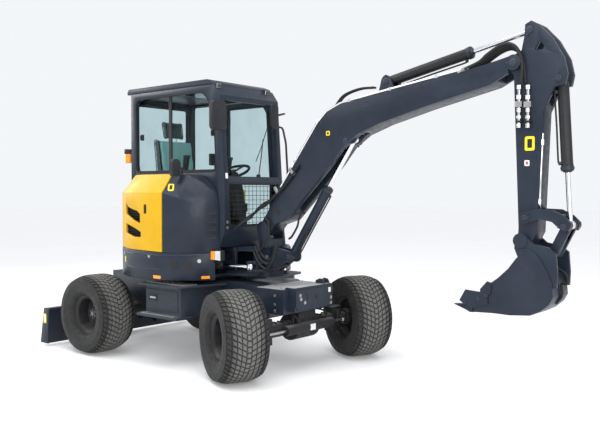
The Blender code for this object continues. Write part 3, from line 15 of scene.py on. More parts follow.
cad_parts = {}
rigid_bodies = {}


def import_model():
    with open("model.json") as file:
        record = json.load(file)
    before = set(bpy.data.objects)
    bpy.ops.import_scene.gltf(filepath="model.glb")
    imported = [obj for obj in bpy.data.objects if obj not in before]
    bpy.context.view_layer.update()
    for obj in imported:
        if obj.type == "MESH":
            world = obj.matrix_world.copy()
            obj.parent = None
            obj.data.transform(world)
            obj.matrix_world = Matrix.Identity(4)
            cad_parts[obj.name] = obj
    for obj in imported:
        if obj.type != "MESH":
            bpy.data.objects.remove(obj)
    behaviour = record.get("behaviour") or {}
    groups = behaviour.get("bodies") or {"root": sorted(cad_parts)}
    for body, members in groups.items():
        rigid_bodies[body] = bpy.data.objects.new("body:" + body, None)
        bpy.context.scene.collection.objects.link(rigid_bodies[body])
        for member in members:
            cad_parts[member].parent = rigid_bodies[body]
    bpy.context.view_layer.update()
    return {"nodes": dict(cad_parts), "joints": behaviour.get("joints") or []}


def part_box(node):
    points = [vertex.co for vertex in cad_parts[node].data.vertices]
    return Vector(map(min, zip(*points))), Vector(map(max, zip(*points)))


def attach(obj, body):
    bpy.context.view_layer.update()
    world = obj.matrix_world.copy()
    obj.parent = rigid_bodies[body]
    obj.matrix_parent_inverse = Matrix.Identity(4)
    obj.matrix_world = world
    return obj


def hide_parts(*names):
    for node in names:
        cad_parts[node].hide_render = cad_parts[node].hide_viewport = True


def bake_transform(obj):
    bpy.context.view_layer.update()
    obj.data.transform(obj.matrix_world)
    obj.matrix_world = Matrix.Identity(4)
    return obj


for startup in list(bpy.data.objects):
    bpy.data.objects.remove(startup, do_unlink=True)
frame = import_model()
NODES = frame["nodes"]
PIN = {joint["name"]: Vector(joint["pos_m"]) for joint in frame["joints"] if "pos_m" in joint}

# %% [markdown]
# Two points of the machine serve as rulers. Everything above the slew ring is measured from the
# slew axis, and everything on the chassis from the middle of the wheelbase. Reading both from the
# joints keeps every later number a plain distance on the machine.

# %% Rulers on the machine
SLEW_X = PIN["slew"].x
MIDDLE_X = (PIN["wheel_rl_spin"].x + PIN["steer_l_turn"].x) / 2
BOOM_Y = PIN["boom_lift"].y


def upper(x, y, z):
    """A point given from the slew axis."""
    return Vector((SLEW_X + x, y, z))


def lower(x, y, z):
    """A point given from the middle of the wheelbase."""
    return Vector((MIDDLE_X + x, y, z))


def digging(x, z, side=0.0):
    """A point in the plane of the boom, given from the slew axis, and how far to its left."""
    return upper(x, BOOM_Y + side, z)


print("slew axis at", round(SLEW_X, 3), "and digging plane at", round(BOOM_Y, 3))

# %% [markdown]
# ## Finishes
#
# A real coat of paint is never one colour. Dust lies on what faces up, the film has a faint orange
# peel, and its gloss is uneven. The same small graph serves every painted or moulded surface: one
# slow noise for patches, one fine noise for the bump, and the surface's own upward lean for dust.
# Texture coordinates come from the object, so that the pattern stays put when a joint moves.


# %% A coat with patches, dust and grain
def new_material(name):
    made = bpy.data.materials.new(name)
    made.use_nodes = True
    graph = made.node_tree
    return made, graph, graph.nodes["Principled BSDF"]


def noise(graph, scale, detail=4.0, rough=0.55, source=None):
    """A noise texture in object coordinates, or in the coordinates of a source socket."""
    texture = graph.nodes.new("ShaderNodeTexNoise")
    texture.inputs["Scale"].default_value = scale
    texture.inputs["Detail"].default_value = detail
    texture.inputs["Roughness"].default_value = rough
    if source is None:
        source = graph.nodes.new("ShaderNodeTexCoord").outputs["Object"]
    graph.links.new(source, texture.inputs["Vector"])
    return texture.outputs["Fac"]


def ramp(graph, value, stops):
    """A colour ramp with (position, grey or colour) stops."""
    node = graph.nodes.new("ShaderNodeValToRGB")
    while len(node.color_ramp.elements) < len(stops):
        node.color_ramp.elements.new(0.5)
    for element, (place, tone) in zip(node.color_ramp.elements, stops):
        element.position = place
        element.color = (tone, tone, tone, 1) if isinstance(tone, (int, float)) else (*tone, 1)
    graph.links.new(value, node.inputs["Fac"])
    return node.outputs["Color"]


def mix(graph, share, first, second):
    """Colours or sockets mixed by a share, which is a socket."""
    node = graph.nodes.new("ShaderNodeMix")
    node.data_type = "RGBA"
    graph.links.new(share, node.inputs["Factor"])
    for socket, value in ((node.inputs[6], first), (node.inputs[7], second)):
        if isinstance(value, tuple):
            socket.default_value = (*value, 1)
        else:
            graph.links.new(value, socket)
    return node.outputs[2]


def bump(graph, shader, height, strength, distance):
    node = graph.nodes.new("ShaderNodeBump")
    node.inputs["Strength"].default_value = strength
    node.inputs["Distance"].default_value = distance
    graph.links.new(height, node.inputs["Height"])
    graph.links.new(node.outputs["Normal"], shader.inputs["Normal"])


def coat(name, colour, roughness, metallic=0.0, dust=0.25, grain=260.0, depth=0.0006, clear=0.0,
    patch=0.14):
    """A painted, moulded or cast surface."""
    made, graph, shader = new_material(name)
    shader.inputs["Metallic"].default_value = metallic
    shader.inputs["Coat Weight"].default_value = clear
    shader.inputs["Coat Roughness"].default_value = 0.12
    shader.inputs["Specular IOR Level"].default_value = 0.24
    shader.inputs["Specular IOR Level"].default_value = 0.24
    darker = tuple(c * (1 - patch) for c in colour)
    lighter = tuple(min(1.0, c * (1 + patch) + 0.004) for c in colour)
    patches = ramp(graph, noise(graph, 3.5, 6.0), [(0.32, 0.0), (0.68, 1.0)])
    base = mix(graph, patches, darker, lighter)
    up = graph.nodes.new("ShaderNodeSeparateXYZ")
    graph.links.new(graph.nodes.new("ShaderNodeNewGeometry").outputs["Normal"], up.inputs["Vector"])
    lying = ramp(graph, up.outputs["Z"], [(0.55, 0.0), (1.0, dust)])
    broken = ramp(graph, noise(graph, 11.0, 8.0, 0.7), [(0.35, 0.25), (0.7, 1.0)])
    cover = graph.nodes.new("ShaderNodeMath")
    cover.operation = "MULTIPLY"
    graph.links.new(lying, cover.inputs[0])
    graph.links.new(broken, cover.inputs[1])
    dusty = mix(graph, cover.outputs["Value"], base, (0.36, 0.35, 0.33))
    graph.links.new(dusty, shader.inputs["Base Color"])
    span = (max(0.04, roughness - 0.08), min(1.0, roughness + 0.12))
    graph.links.new(ramp(graph, noise(graph, 24.0, 5.0), [(0.3, span[0]), (0.7, span[1])]),
        shader.inputs["Roughness"])
    bump(graph, shader, noise(graph, grain, 3.0), 0.35, depth)
    return made


GRAPHITE = coat("graphite_paint", (0.012, 0.018, 0.031), 0.36, dust=0.05, clear=0.05)
# A lighter graphite: the finish of paler sheet parts, and also a painted highlight on the skirt ridge and
# on the lips of the side cover's slots.
GRAPHITE_SHEET_AND_PAINTED_HIGHLIGHT = coat("graphite_sheet", (0.022, 0.029, 0.042), 0.42, dust=0.10, clear=0.03)
YELLOW = coat("yellow_paint", (0.62, 0.35, 0.004), 0.38, dust=0.0, clear=0.0, patch=0.05)
# Black paint: the finish of black parts and label rims, and also flat dark plates of painted shade in the
# counterweight's recesses and the side cover's slots.
BLACK_PAINT_AND_PAINTED_SHADE = coat("black_paint", (0.016, 0.016, 0.018), 0.42, dust=0.3)
CASTING = coat("black_casting", (0.018, 0.018, 0.020), 0.55, dust=0.4, grain=120.0, depth=0.0022)
PLASTIC = coat("black_plastic", (0.018, 0.019, 0.022), 0.55, dust=0.12, grain=700.0, depth=0.0009)
HOSE = coat("hose_rubber", (0.012, 0.012, 0.013), 0.5, dust=0.15, grain=500.0, depth=0.0005)
SEAL = coat("seal_rubber", (0.014, 0.014, 0.015), 0.7, dust=0.1, grain=400.0, depth=0.0005)
ENGINE = coat("engine_casting", (0.07, 0.07, 0.068), 0.6, metallic=0.3, dust=0.5, grain=90.0, depth=0.003)
STEEL = coat("bare_steel", (0.42, 0.42, 0.41), 0.34, metallic=0.95, dust=0.1, grain=180.0, depth=0.0006)
WORN_STEEL = coat("worn_steel", (0.20, 0.19, 0.18), 0.42, metallic=0.8, dust=0.3, grain=60.0, depth=0.002)
DECK = coat("deck_paint", (0.36, 0.37, 0.38), 0.6, dust=0.4, grain=200.0, depth=0.0012)
CHROME = coat("chrome_plate", (0.72, 0.73, 0.75), 0.13, metallic=1.0, dust=0.0, grain=60.0, depth=0.0001,
    patch=0.04)
WHITE_PLATE = coat("white_plate", (0.72, 0.72, 0.70), 0.4, dust=0.1)
YELLOW_PLATE = coat("yellow_plate", (0.80, 0.62, 0.02), 0.4, dust=0.1)
RED_PLATE = coat("red_plate", (0.62, 0.05, 0.03), 0.4, dust=0.1)
BLUE_GREY_PLATE = coat("blue_grey_plate", (0.10, 0.22, 0.42), 0.35, dust=0.0)
print("painted, cast and moulded finishes ready")

# %% [markdown]
# Safety glass is nearly clear and tinted right through, so its colour sits in a transmissive
# shader. Faint wiping marks in the roughness stop it from looking like empty air. The lamp lenses
# are the same thing in amber and clear, with a ribbed bump that scatters the light.


# %% Glass and lenses
def glass(name, colour, roughness, ior=1.45):
    made, graph, shader = new_material(name)
    shader.inputs["Transmission Weight"].default_value = 1.0
    shader.inputs["IOR"].default_value = ior
    soft = tuple(min(1.0, c * 1.04) for c in colour)
    wiped = ramp(graph, noise(graph, 5.0, 6.0), [(0.4, 0.0), (0.6, 1.0)])
    graph.links.new(mix(graph, wiped, colour, soft), shader.inputs["Base Color"])
    marks = ramp(graph, noise(graph, 9.0, 8.0), [(0.45, roughness), (0.75, roughness + 0.03)])
    graph.links.new(marks, shader.inputs["Roughness"])
    return made


TINTED = glass("tinted_glass", (0.69, 0.785, 0.80), 0.012, ior=1.12)


def reflector(name, colour):
    """A bright lens under a thick clear coat."""
    made = coat(name, colour, 0.22, dust=0.05, grain=340.0, depth=0.0012, clear=0.8)
    return made


AMBER_REFLECTOR = reflector("amber_reflector", (0.92, 0.30, 0.01))
print("glass and lenses ready")

# %% [markdown]
# Rubber is dark where it has never touched the ground and grey where it has. On a tyre the wear
# follows the distance from the wheel's axle, so the shader measures that distance in the tyre's own
# coordinates and fades to grey over the outermost millimetres.

# %% Tyre rubber
TYRE_CENTRES = {"rl": "wheel_rl_spin", "rr": "wheel_rr_spin", "fl": "wheel_fl_spin",
    "fr": "wheel_fr_spin"}
tyre_low, tyre_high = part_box("tyre_rl")
TYRE_RADIUS = PIN["wheel_rl_spin"].z
TYRE_WIDTH = tyre_high.y - tyre_low.y


def tyre_rubber():
    made, graph, shader = new_material("tyre_rubber")
    place = graph.nodes.new("ShaderNodeTexCoord").outputs["Object"]
    split = graph.nodes.new("ShaderNodeSeparateXYZ")
    graph.links.new(place, split.inputs["Vector"])
    flat = graph.nodes.new("ShaderNodeCombineXYZ")
    graph.links.new(split.outputs["X"], flat.inputs["X"])
    graph.links.new(split.outputs["Z"], flat.inputs["Z"])
    reach = graph.nodes.new("ShaderNodeVectorMath")
    reach.operation = "LENGTH"
    graph.links.new(flat.outputs["Vector"], reach.inputs[0])
    span = graph.nodes.new("ShaderNodeMapRange")
    span.inputs["From Min"].default_value = TYRE_RADIUS - 0.018
    span.inputs["From Max"].default_value = TYRE_RADIUS
    graph.links.new(reach.outputs["Value"], span.inputs["Value"])
    scuffed = graph.nodes.new("ShaderNodeMath")
    scuffed.operation = "MULTIPLY"
    graph.links.new(span.outputs["Result"], scuffed.inputs[0])
    patchy = ramp(graph, noise(graph, 42.0, 8.0, 0.7), [(0.25, 0.45), (0.6, 1.0)])
    graph.links.new(patchy, scuffed.inputs[1])
    dark = mix(graph, ramp(graph, noise(graph, 7.0, 6.0), [(0.3, 0.0), (0.7, 1.0)]),
        (0.009, 0.009, 0.010), (0.020, 0.020, 0.019))
    graph.links.new(mix(graph, scuffed.outputs["Value"], dark, (0.150, 0.148, 0.138)),
        shader.inputs["Base Color"])
    graph.links.new(ramp(graph, noise(graph, 30.0), [(0.3, 0.62), (0.7, 0.9)]),
        shader.inputs["Roughness"])
    bump(graph, shader, noise(graph, 420.0, 4.0), 0.4, 0.0008)
    return made


RUBBER = tyre_rubber()
print("tyre radius", round(TYRE_RADIUS, 4), "width", round(TYRE_WIDTH, 4))

# %% [markdown]
# ## Helpers for making pieces
#
# Every piece is made the same way: a bmesh or a curve is filled, given one finish, and told which
# body it rides on. The small helpers below carry that routine, so that each later cell can be about
# the shape alone. Boxes get a bevel, because no pressed or welded edge is perfectly sharp.


# %% Mesh, bar, block and outline helpers
def settle(name, shape, finish, body, bevel=0.0, smooth=True, segments=2):
    """A bmesh as a finished piece that rides on a body."""
    bmesh.ops.recalc_face_normals(shape, faces=shape.faces)
    mesh = bpy.data.meshes.new(name)
    shape.to_mesh(mesh)
    shape.free()
    piece = bpy.data.objects.new(name, mesh)
    bpy.context.scene.collection.objects.link(piece)
    mesh.materials.append(finish)
    if smooth:
        mesh.shade_smooth()
        mesh.set_sharp_from_angle(angle=math.radians(38))
    if bevel:
        rounding = piece.modifiers.new("edges", "BEVEL")
        rounding.width = bevel
        rounding.segments = segments
        rounding.limit_method = "ANGLE"
        rounding.angle_limit = math.radians(40)
        rounding.harden_normals = True
    if body:
        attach(piece, body)
    return piece


def add_block(shape, low, high):
    low, high = Vector(low), Vector(high)
    place = Matrix.Translation((low + high) / 2) @ Matrix.Diagonal((*(high - low), 1))
    bmesh.ops.create_cube(shape, size=1, matrix=place)


def add_bar(shape, start, end, radius, sides=20, end_radius=None):
    start, end = Vector(start), Vector(end)
    along = end - start
    turn = along.to_track_quat("Z", "Y").to_matrix().to_4x4()
    bmesh.ops.create_cone(
        shape, cap_ends=True, segments=sides, radius1=radius,
        radius2=radius if end_radius is None else end_radius,
        depth=along.length, matrix=Matrix.Translation((start + end) / 2) @ turn,
    )


def add_prism(shape, ring, offset):
    """A closed prism: a ring of points and the same ring moved by an offset."""
    first = [shape.verts.new(point) for point in ring]
    second = [shape.verts.new(Vector(point) + Vector(offset)) for point in ring]
    shape.faces.new(first)
    shape.faces.new(second[::-1])
    for index in range(len(ring)):
        after = (index + 1) % len(ring)
        shape.faces.new((first[index], second[index], second[after], first[after]))


def add_sweep(shape, path, radius, sides=10):
    """A round tube along a path of points, with closed ends."""
    points = [Vector(point) for point in path]
    heading = (points[1] - points[0]).normalized()
    side = heading.orthogonal().normalized()
    rings = []
    for index, point in enumerate(points):
        ahead = points[min(index + 1, len(points) - 1)] - points[max(index - 1, 0)]
        ahead.normalize()
        side = (side - ahead * side.dot(ahead)).normalized()
        other = ahead.cross(side)
        ring = []
        for step in range(sides):
            angle = math.tau * step / sides
            ring.append(shape.verts.new(point + (side * math.cos(angle) + other * math.sin(angle))
                * radius))
        rings.append(ring)
    for low, high in zip(rings, rings[1:]):
        for step in range(sides):
            after = (step + 1) % sides
            shape.faces.new((low[step], low[after], high[after], high[step]))
    shape.faces.new(rings[0][::-1])
    shape.faces.new(rings[-1])


def eased(points, steps=6):
    """A smooth path through a few points, as a Catmull-Rom spline."""
    path = [Vector(point) for point in points]
    path = [path[0] * 2 - path[1], *path, path[-1] * 2 - path[-2]]
    made = []
    for before, start, end, after in zip(path, path[1:], path[2:], path[3:]):
        for step in range(steps):
            t = step / steps
            made.append(0.5 * (start * 2 + (end - before) * t
                + (before * 2 - start * 5 + end * 4 - after) * t**2
                               + (start * 3 - before - end * 3 + after) * t**3))
    made.append(path[-2])
    return made


def block(name, low, high, finish, body, bevel=0.003):
    shape = bmesh.new()
    add_block(shape, low, high)
    return settle(name, shape, finish, body, bevel)


def hose(name, points, radius, body, finish=HOSE, steps=6, sides=10):
    shape = bmesh.new()
    add_sweep(shape, eased(points, steps), radius, sides)
    return settle(name, shape, finish, body)


def add_bolt(shape, at, outward, radius=0.011, height=0.008):
    """A hexagon head on its washer, standing on a face at a point."""
    at, outward = Vector(at), Vector(outward).normalized()
    add_bar(shape, at, at + outward * height * 0.25, radius * 1.45, 16)
    add_bar(shape, at + outward * height * 0.2, at + outward * height, radius, 6)


def bolts(name, places, outward, body, radius=0.011, finish=STEEL):
    shape = bmesh.new()
    for place in places:
        add_bolt(shape, place, outward, radius)
    return settle(name, shape, finish, body)


print("helpers ready")

# %% [markdown]
# ## The model's own pieces
#
# Most of the steel is already the right shape in the model. It only lacks finish, so each piece gets
# its paint and a narrow bevel, made by modifiers: flat triangles are merged first, because a bevel
# can only run cleanly along the border of a whole face. The mesh itself stays as it is.


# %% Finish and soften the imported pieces
def dress(name, finish, bevel=0.0, segments=2, angle=30):
    node = NODES[name]
    node.data.materials.clear()
    node.data.materials.append(finish)
    node.data.polygons.foreach_set("use_smooth", [True] * len(node.data.polygons))
    weld = node.modifiers.new("weld", "WELD")
    weld.merge_threshold = 0.00005
    merge = node.modifiers.new("whole_faces", "DECIMATE")
    merge.decimate_type = "DISSOLVE"
    merge.angle_limit = math.radians(0.6)
    if bevel:
        rounding = node.modifiers.new("edges", "BEVEL")
        rounding.width = bevel
        rounding.segments = segments
        rounding.limit_method = "ANGLE"
        rounding.angle_limit = math.radians(angle)
        rounding.harden_normals = True
    else:
        split = node.modifiers.new("edges", "EDGE_SPLIT")
        split.split_angle = math.radians(angle)
    return node


PAINTED = {
    "chassis_frame": (GRAPHITE, 0.006), "step_box_left": (GRAPHITE_SHEET_AND_PAINTED_HIGHLIGHT, 0.003),
    "step_box_right": (GRAPHITE_SHEET_AND_PAINTED_HIGHLIGHT, 0.003),
    "blade": (GRAPHITE, 0.003), "counterweight": (GRAPHITE, 0.014), "turntable_frame": (GRAPHITE, 0.004),
    "side_cover": (GRAPHITE, 0.010), "hood_left": (YELLOW, 0.007), "hood_right": (YELLOW, 0.007),
    "cab_frame": (GRAPHITE, 0.010), "cab_roof": (GRAPHITE, 0.012), "door": (GRAPHITE, 0.006),
    "swing_post": (GRAPHITE, 0.008), "boom": (GRAPHITE, 0.006), "arm": (GRAPHITE, 0.005),
    "lever": (GRAPHITE, 0.004), "link": (GRAPHITE, 0.004), "bucket": (GRAPHITE, 0.003),
    "rear_axle": (CASTING, 0.006), "front_axle": (CASTING, 0.005), "knuckle_left": (CASTING, 0.005),
    "knuckle_right": (CASTING, 0.005), "drive_shaft": (CASTING, 0.002), "slew_ring": (BLACK_PAINT_AND_PAINTED_SHADE, 0.003),
    "engine": (ENGINE, 0.012), "seat": (PLASTIC, 0.01), "consoles": (PLASTIC, 0.008),
    "steering_column": (PLASTIC, 0.003),
    "mirror_right": (PLASTIC, 0.010), "mirror_left": (PLASTIC, 0.008), "mirror_side": (PLASTIC, 0.010),
    "grab_rail": (BLACK_PAINT_AND_PAINTED_SHADE, 0.0), "beacon": (PLASTIC, 0.003), "boom_pipes": (CHROME, 0.0),
    "steering_rod": (STEEL, 0.0),
}
for node_name, (finish, bevel) in PAINTED.items():
    dress(node_name, finish, bevel)
for cylinder in ("boom", "arm", "bucket", "swing", "blade"):
    dress(cylinder + "_barrel", BLACK_PAINT_AND_PAINTED_SHADE if cylinder != "boom" else GRAPHITE, 0.002)
    dress(cylinder + "_rod", CHROME, 0.0015)
for corner in TYRE_CENTRES:
    dress("rim_" + corner, BLACK_PAINT_AND_PAINTED_SHADE, 0.002)
for pane in ("glass_right", "glass_left_rear", "glass_rear", "windscreen", "glass_roof", "glass_door"):
    dress(pane, TINTED, 0.0)
print("dressed", len(NODES), "nodes")

# %% [markdown]
# ## Tyres
#
# These are wide flotation tyres with a turf tread: rows of small moulded blocks, like bricks laid in
# a chevron, over a flat crown. An image would flatten at the edge of the tyre, so the blocks are
# real. One carcass is turned from a profile, and the blocks are set on it in a loop, each with
# slightly drawn-in walls.

# %% Carcass and tread blocks
CROWN = TYRE_RADIUS - 0.0015
GROOVE = 0.011
ROWS = 9
BLOCKS_AROUND = 50
HALF = TYRE_WIDTH / 2
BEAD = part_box("rim_rl")[1].z - TYRE_RADIUS + 0.001


def crown_radius(y):
    """The tread's outer radius at a distance from the middle plane."""
    share = abs(y) / HALF
    return CROWN - 0.028 * max(0.0, share - 0.35) ** 2.0 / 0.30


def carcass_profile():
    """(radius, y) from one bead over the crown to the other bead."""
    side = [
        (BEAD, 0.70), (BEAD + 0.012, 0.80), (BEAD + 0.030, 0.90), (BEAD + 0.034, 0.915),
        (BEAD + 0.040, 0.915),
        (BEAD + 0.070, 0.975), (BEAD + 0.105, 0.995), (BEAD + 0.108, 1.0), (BEAD + 0.114, 1.0),
        (BEAD + 0.117, 0.993),
        (BEAD + 0.145, 0.985), (BEAD + 0.165, 0.955), (crown_radius(0.90 * HALF) - GROOVE, 0.905),
        (crown_radius(0.7 * HALF) - GROOVE, 0.7), (crown_radius(0.45 * HALF) - GROOVE, 0.45),
        (CROWN - GROOVE, 0.15),
    ]
    right = [(radius, share * HALF) for radius, share in side]
    return right + [(radius, -y) for radius, y in reversed(right)]


def add_turned(shape, profile, steps):
    """A ring turned about Y from an open profile, closed on the inside by its ends."""
    rings = []
    for step in range(steps):
        angle = math.tau * step / steps
        rings.append([shape.verts.new((r * math.cos(angle), y, r * math.sin(angle))) for r, y in profile])
    for index in range(steps):
        here, there = rings[index], rings[(index + 1) % steps]
        for point in range(len(profile)):
            after = (point + 1) % len(profile)
            shape.faces.new((here[point], there[point], there[after], here[after]))


def add_tread_block(shape, middle_angle, span, y_low, y_high, lean):
    """One block, from below the groove's floor to the crown, with drawn-in walls."""
    rings = []
    for drop, shrink in ((GROOVE + 0.004, 0.0), (0.0015, 0.0014), (0.0, 0.0035)):
        ring = []
        for turn, y in ((-1, y_low), (1, y_low), (1, y_high), (-1, y_high)):
            inner_y = y + (shrink if y == y_low else -shrink)
            angle = middle_angle + turn * (span / 2 - shrink / CROWN) + lean * (y - (y_low + y_high) / 2)
            radius = crown_radius(inner_y) - drop
            ring.append(shape.verts.new((radius * math.cos(angle), inner_y, radius * math.sin(angle))))
        rings.append(ring)
    for low, high in zip(rings, rings[1:]):
        for index in range(4):
            after = (index + 1) % 4
            shape.faces.new((low[index], low[after], high[after], high[index]))
    shape.faces.new(rings[0][::-1])
    shape.faces.new(rings[-1])


def tyre_mesh():
    shape = bmesh.new()
    add_turned(shape, carcass_profile(), 96)
    pitch = math.tau / BLOCKS_AROUND
    width = 1.90 * HALF / ROWS
    for row in range(ROWS):
        y = (row - (ROWS - 1) / 2) * width
        shift = abs(row - (ROWS - 1) / 2) * 0.42
        lean = 1.5 if y > 0.01 else -1.5 if y < -0.01 else 0.0
        for index in range(BLOCKS_AROUND):
            angle = (index + shift) * pitch
            add_tread_block(shape, angle, pitch * 0.77, y - width * 0.405, y + width * 0.405, lean)
    bmesh.ops.recalc_face_normals(shape, faces=shape.faces)
    mesh = bpy.data.meshes.new("tyre")
    shape.to_mesh(mesh)
    shape.free()
    mesh.materials.append(RUBBER)
    mesh.shade_smooth()
    mesh.set_sharp_from_angle(angle=math.radians(32))
    return mesh


def wheel_place(corner):
    """Where a wheel's own coordinates lie at rest: its centre, turned with its spin axis."""
    joint = next(j for j in frame["joints"] if j["name"] == TYRE_CENTRES[corner])
    axis = Vector(joint["axis"])
    turn = math.atan2(-axis.x, axis.y)
    return Matrix.Translation(PIN[TYRE_CENTRES[corner]]) @ Matrix.Rotation(turn, 4, "Z")


tyre_shape = tyre_mesh()
for corner in TYRE_CENTRES:
    tyre = bpy.data.objects.new("tread_" + corner, tyre_shape.copy())
    bpy.context.scene.collection.objects.link(tyre)
    tyre.matrix_world = wheel_place(corner)
    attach(tyre, "wheel_" + corner)
    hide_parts("tyre_" + corner)
print("tread blocks on a tyre:", ROWS * BLOCKS_AROUND)

# %% [markdown]
# Small parts have to stand exactly on the surfaces that carry them. Instead of copying numbers, a
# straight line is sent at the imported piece, and the point where it lands gives both the place and
# the way the surface faces. Labels, bolts and pin heads are all set down in this way.

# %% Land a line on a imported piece
from mathutils.bvhtree import BVHTree

TREES = {}


def touch(node, start, direction):
    """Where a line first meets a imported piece, and the way the surface faces there."""
    if node not in TREES:
        mesh = NODES[node].data
        TREES[node] = BVHTree.FromPolygons([v.co for v in mesh.vertices],
            [tuple(p.vertices) for p in mesh.polygons])
    point, facing, _, _ = TREES[node].ray_cast(Vector(start), Vector(direction).normalized())
    if point is None:
        print("nothing met on", node, "from", [round(v, 3) for v in start])
        return Vector(start), -Vector(direction).normalized()
    return point, facing


def plate(name, node, start, direction, size, finish, body, turn=0.0, thick=0.0016,
    rim=None):
    """A thin plate with rounded corners on a surface; rim adds a second, smaller field on top."""
    at, facing = touch(node, start, direction)
    side = facing.cross(Vector((0, 0, 1)))
    side = side.normalized() if side.length > 0.1 else Vector((1, 0, 0))
    side = Matrix.Rotation(math.radians(turn), 3, facing) @ side
    up = side.cross(facing).normalized()
    made = []
    for part, (shrink, lift, coat_of) in enumerate([(0.0, 0.0,
        finish)] + ([(min(size) * 0.26, thick, rim)] if rim else [])):
        shape = bmesh.new()
        half, high = size[0] / 2 - shrink, size[1] / 2 - shrink
        round_off = min(half, high) * 0.25
        ring = []
        for sx, sz in ((1, 1), (-1, 1), (-1, -1), (1, -1)):
            for dx, dz in ((1, 0), (0, 1)) if sx * sz > 0 else ((0, 1), (1, 0)):
                place = side * sx * (half - round_off * (1 - dx)) + up * sz * (high - round_off
                    * (1 - dz))
                ring.append(at + facing * (lift - 0.0008) + place)
        add_prism(shape, ring, facing * (thick * (0.5 if part else 1) + 0.0008))
        made.append(settle(name if not part else name + "_field", shape, coat_of, body,
            smooth=False))
    return made[0]


print("surface helpers ready")

# %% [markdown]
# ## Wheels and running gear
#
# The dished rims carry eight wheel nuts round a flanged hub with a cap. They are small, but they
# turn with the wheel, so they make its rotation visible. Each set is made in the wheel's own
# coordinates and then placed.

# %% Wheel nuts, hub caps and valves
def wheel_fittings(corner):
    out = 1 if corner.endswith("l") else -1
    shape = bmesh.new()
    for index in range(8):
        angle = math.tau * index / 8
        at = Vector((0.094 * math.cos(angle), -0.016 * out, 0.094 * math.sin(angle)))
        add_bolt(shape, at, (0, out, 0), 0.0125, 0.017)
    for index in range(6):
        angle = math.tau * (index + 0.5) / 6
        at = Vector((0.040 * math.cos(angle), 0.055 * out, 0.040 * math.sin(angle)))
        add_bolt(shape, at, (0, out, 0), 0.006, 0.006)
    add_bar(shape, (0, 0.050 * out, 0), (0, 0.064 * out, 0), 0.027, 24, 0.022)
    add_sweep(shape, [(0.140, 0.0, 0.02), (0.140, 0.03 * out, 0.02), (0.136, 0.052 * out, 0.02)], 0.0045,
        8)
    fittings = settle("wheel_nuts_" + corner, shape, WORN_STEEL, None)
    fittings.matrix_world = wheel_place(corner)
    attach(fittings, "wheel_" + corner)


for corner in TYRE_CENTRES:
    wheel_fittings(corner)
print("fitted", len(TYRE_CENTRES), "wheels")

# %% [markdown]
# The front axle is a heavy casting with a bolted differential cover, and a steering cylinder beside
# it that two hoses feed. Ribs and a ring of bolts are what tell a casting from a plain bar.

# %% Axle castings and their hoses
AXLE_X, AXLE_Z = PIN["steer_l_turn"].x, PIN["wheel_rl_spin"].z


def axle_dressing(name, x, facing):
    shape = bmesh.new()
    for index in range(10):
        angle = math.tau * index / 10
        spot = Vector((x + facing * 0.6, 0.098 * math.cos(angle), AXLE_Z + 0.098 * math.sin(angle)))
        at, away = touch(name, spot, (-facing, 0, 0))
        add_bolt(shape, at, away, 0.008, 0.008)
    for y in (-0.36, -0.27, 0.27, 0.36):
        at, _ = touch(name, (x, y, AXLE_Z + 0.6), (0, 0, -1))
        depth = at.z - AXLE_Z
        ring = [(x - depth * 0.8, y - 0.007, AXLE_Z), (x - depth * 0.5, y - 0.007, at.z + 0.006),
                (x + depth * 0.5, y - 0.007, at.z + 0.006), (x + depth * 0.8, y - 0.007, AXLE_Z)]
        add_prism(shape, ring, (0, 0.014, 0))
    settle(name + "_ribs", shape, CASTING, "chassis", 0.002)


axle_dressing("front_axle", AXLE_X, 1)
axle_dressing("rear_axle", PIN["wheel_rl_spin"].x, -1)


def sleeve(name, x, z, half, outer, inner, finish=CASTING):
    """A hollow tube along the axle, for a rod that slides inside it."""
    shape = bmesh.new()
    profile = [(-half, inner), (-half, outer * 0.9), (-half + 0.02, outer), (half - 0.02, outer),
        (half, outer * 0.9), (half, inner)]
    rings = []
    for y, radius in profile:
        rings.append([shape.verts.new((x + radius * math.cos(math.tau * k / 36), y,
            z + radius * math.sin(math.tau * k / 36))) for k in range(36)])
    for first, second in zip(rings, rings[1:] + rings[:1]):
        for k in range(36):
            shape.faces.new((first[k], first[(k + 1) % 36], second[(k + 1) % 36], second[k]))
    return settle(name, shape, finish, "chassis")


ROD_LOW, ROD_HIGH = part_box("steering_rod")
ROD_X, ROD_Z = ROD_HIGH.x - 0.022, (ROD_LOW.z + ROD_HIGH.z) / 2
sleeve("steering_barrel", ROD_X, ROD_Z, 0.33, 0.047, 0.018)
shape = bmesh.new()
for y in (-0.30, -0.10, 0.10, 0.30):
    add_block(shape, (ROD_X - 0.10, y - 0.012, ROD_Z - 0.040), (ROD_X - 0.030, y + 0.012, ROD_Z + 0.030))
settle("steering_barrel_feet", shape, CASTING, "chassis", 0.003)
for side in (-1, 1):
    foot = Vector((ROD_X, side * 0.24, ROD_Z + 0.046))
    top = Vector((AXLE_X - 0.02, side * 0.15, 0.535))
    path = [foot, foot + Vector((0.012, 0, 0.045)), (foot + top) / 2 + Vector((0.04, side * 0.02, 0.03)),
        top]
    hose("steering_hose_%s" % "rl"[side > 0], path, 0.009, "chassis")
shape = bmesh.new()
add_block(shape, (ROD_X + 0.040, -0.035, ROD_Z - 0.028), (ROD_X + 0.0485, 0.035, ROD_Z + 0.028))
settle("axle_plate", shape, WHITE_PLATE, "chassis", bevel=0.002)
print("axles dressed")

# %% [markdown]
# The chassis ends in a box of thick plate just ahead of the front axle. A bolted plate closes its
# end, its deck is plain grey, and a pair of lugs on the deck is there to lash the machine down.

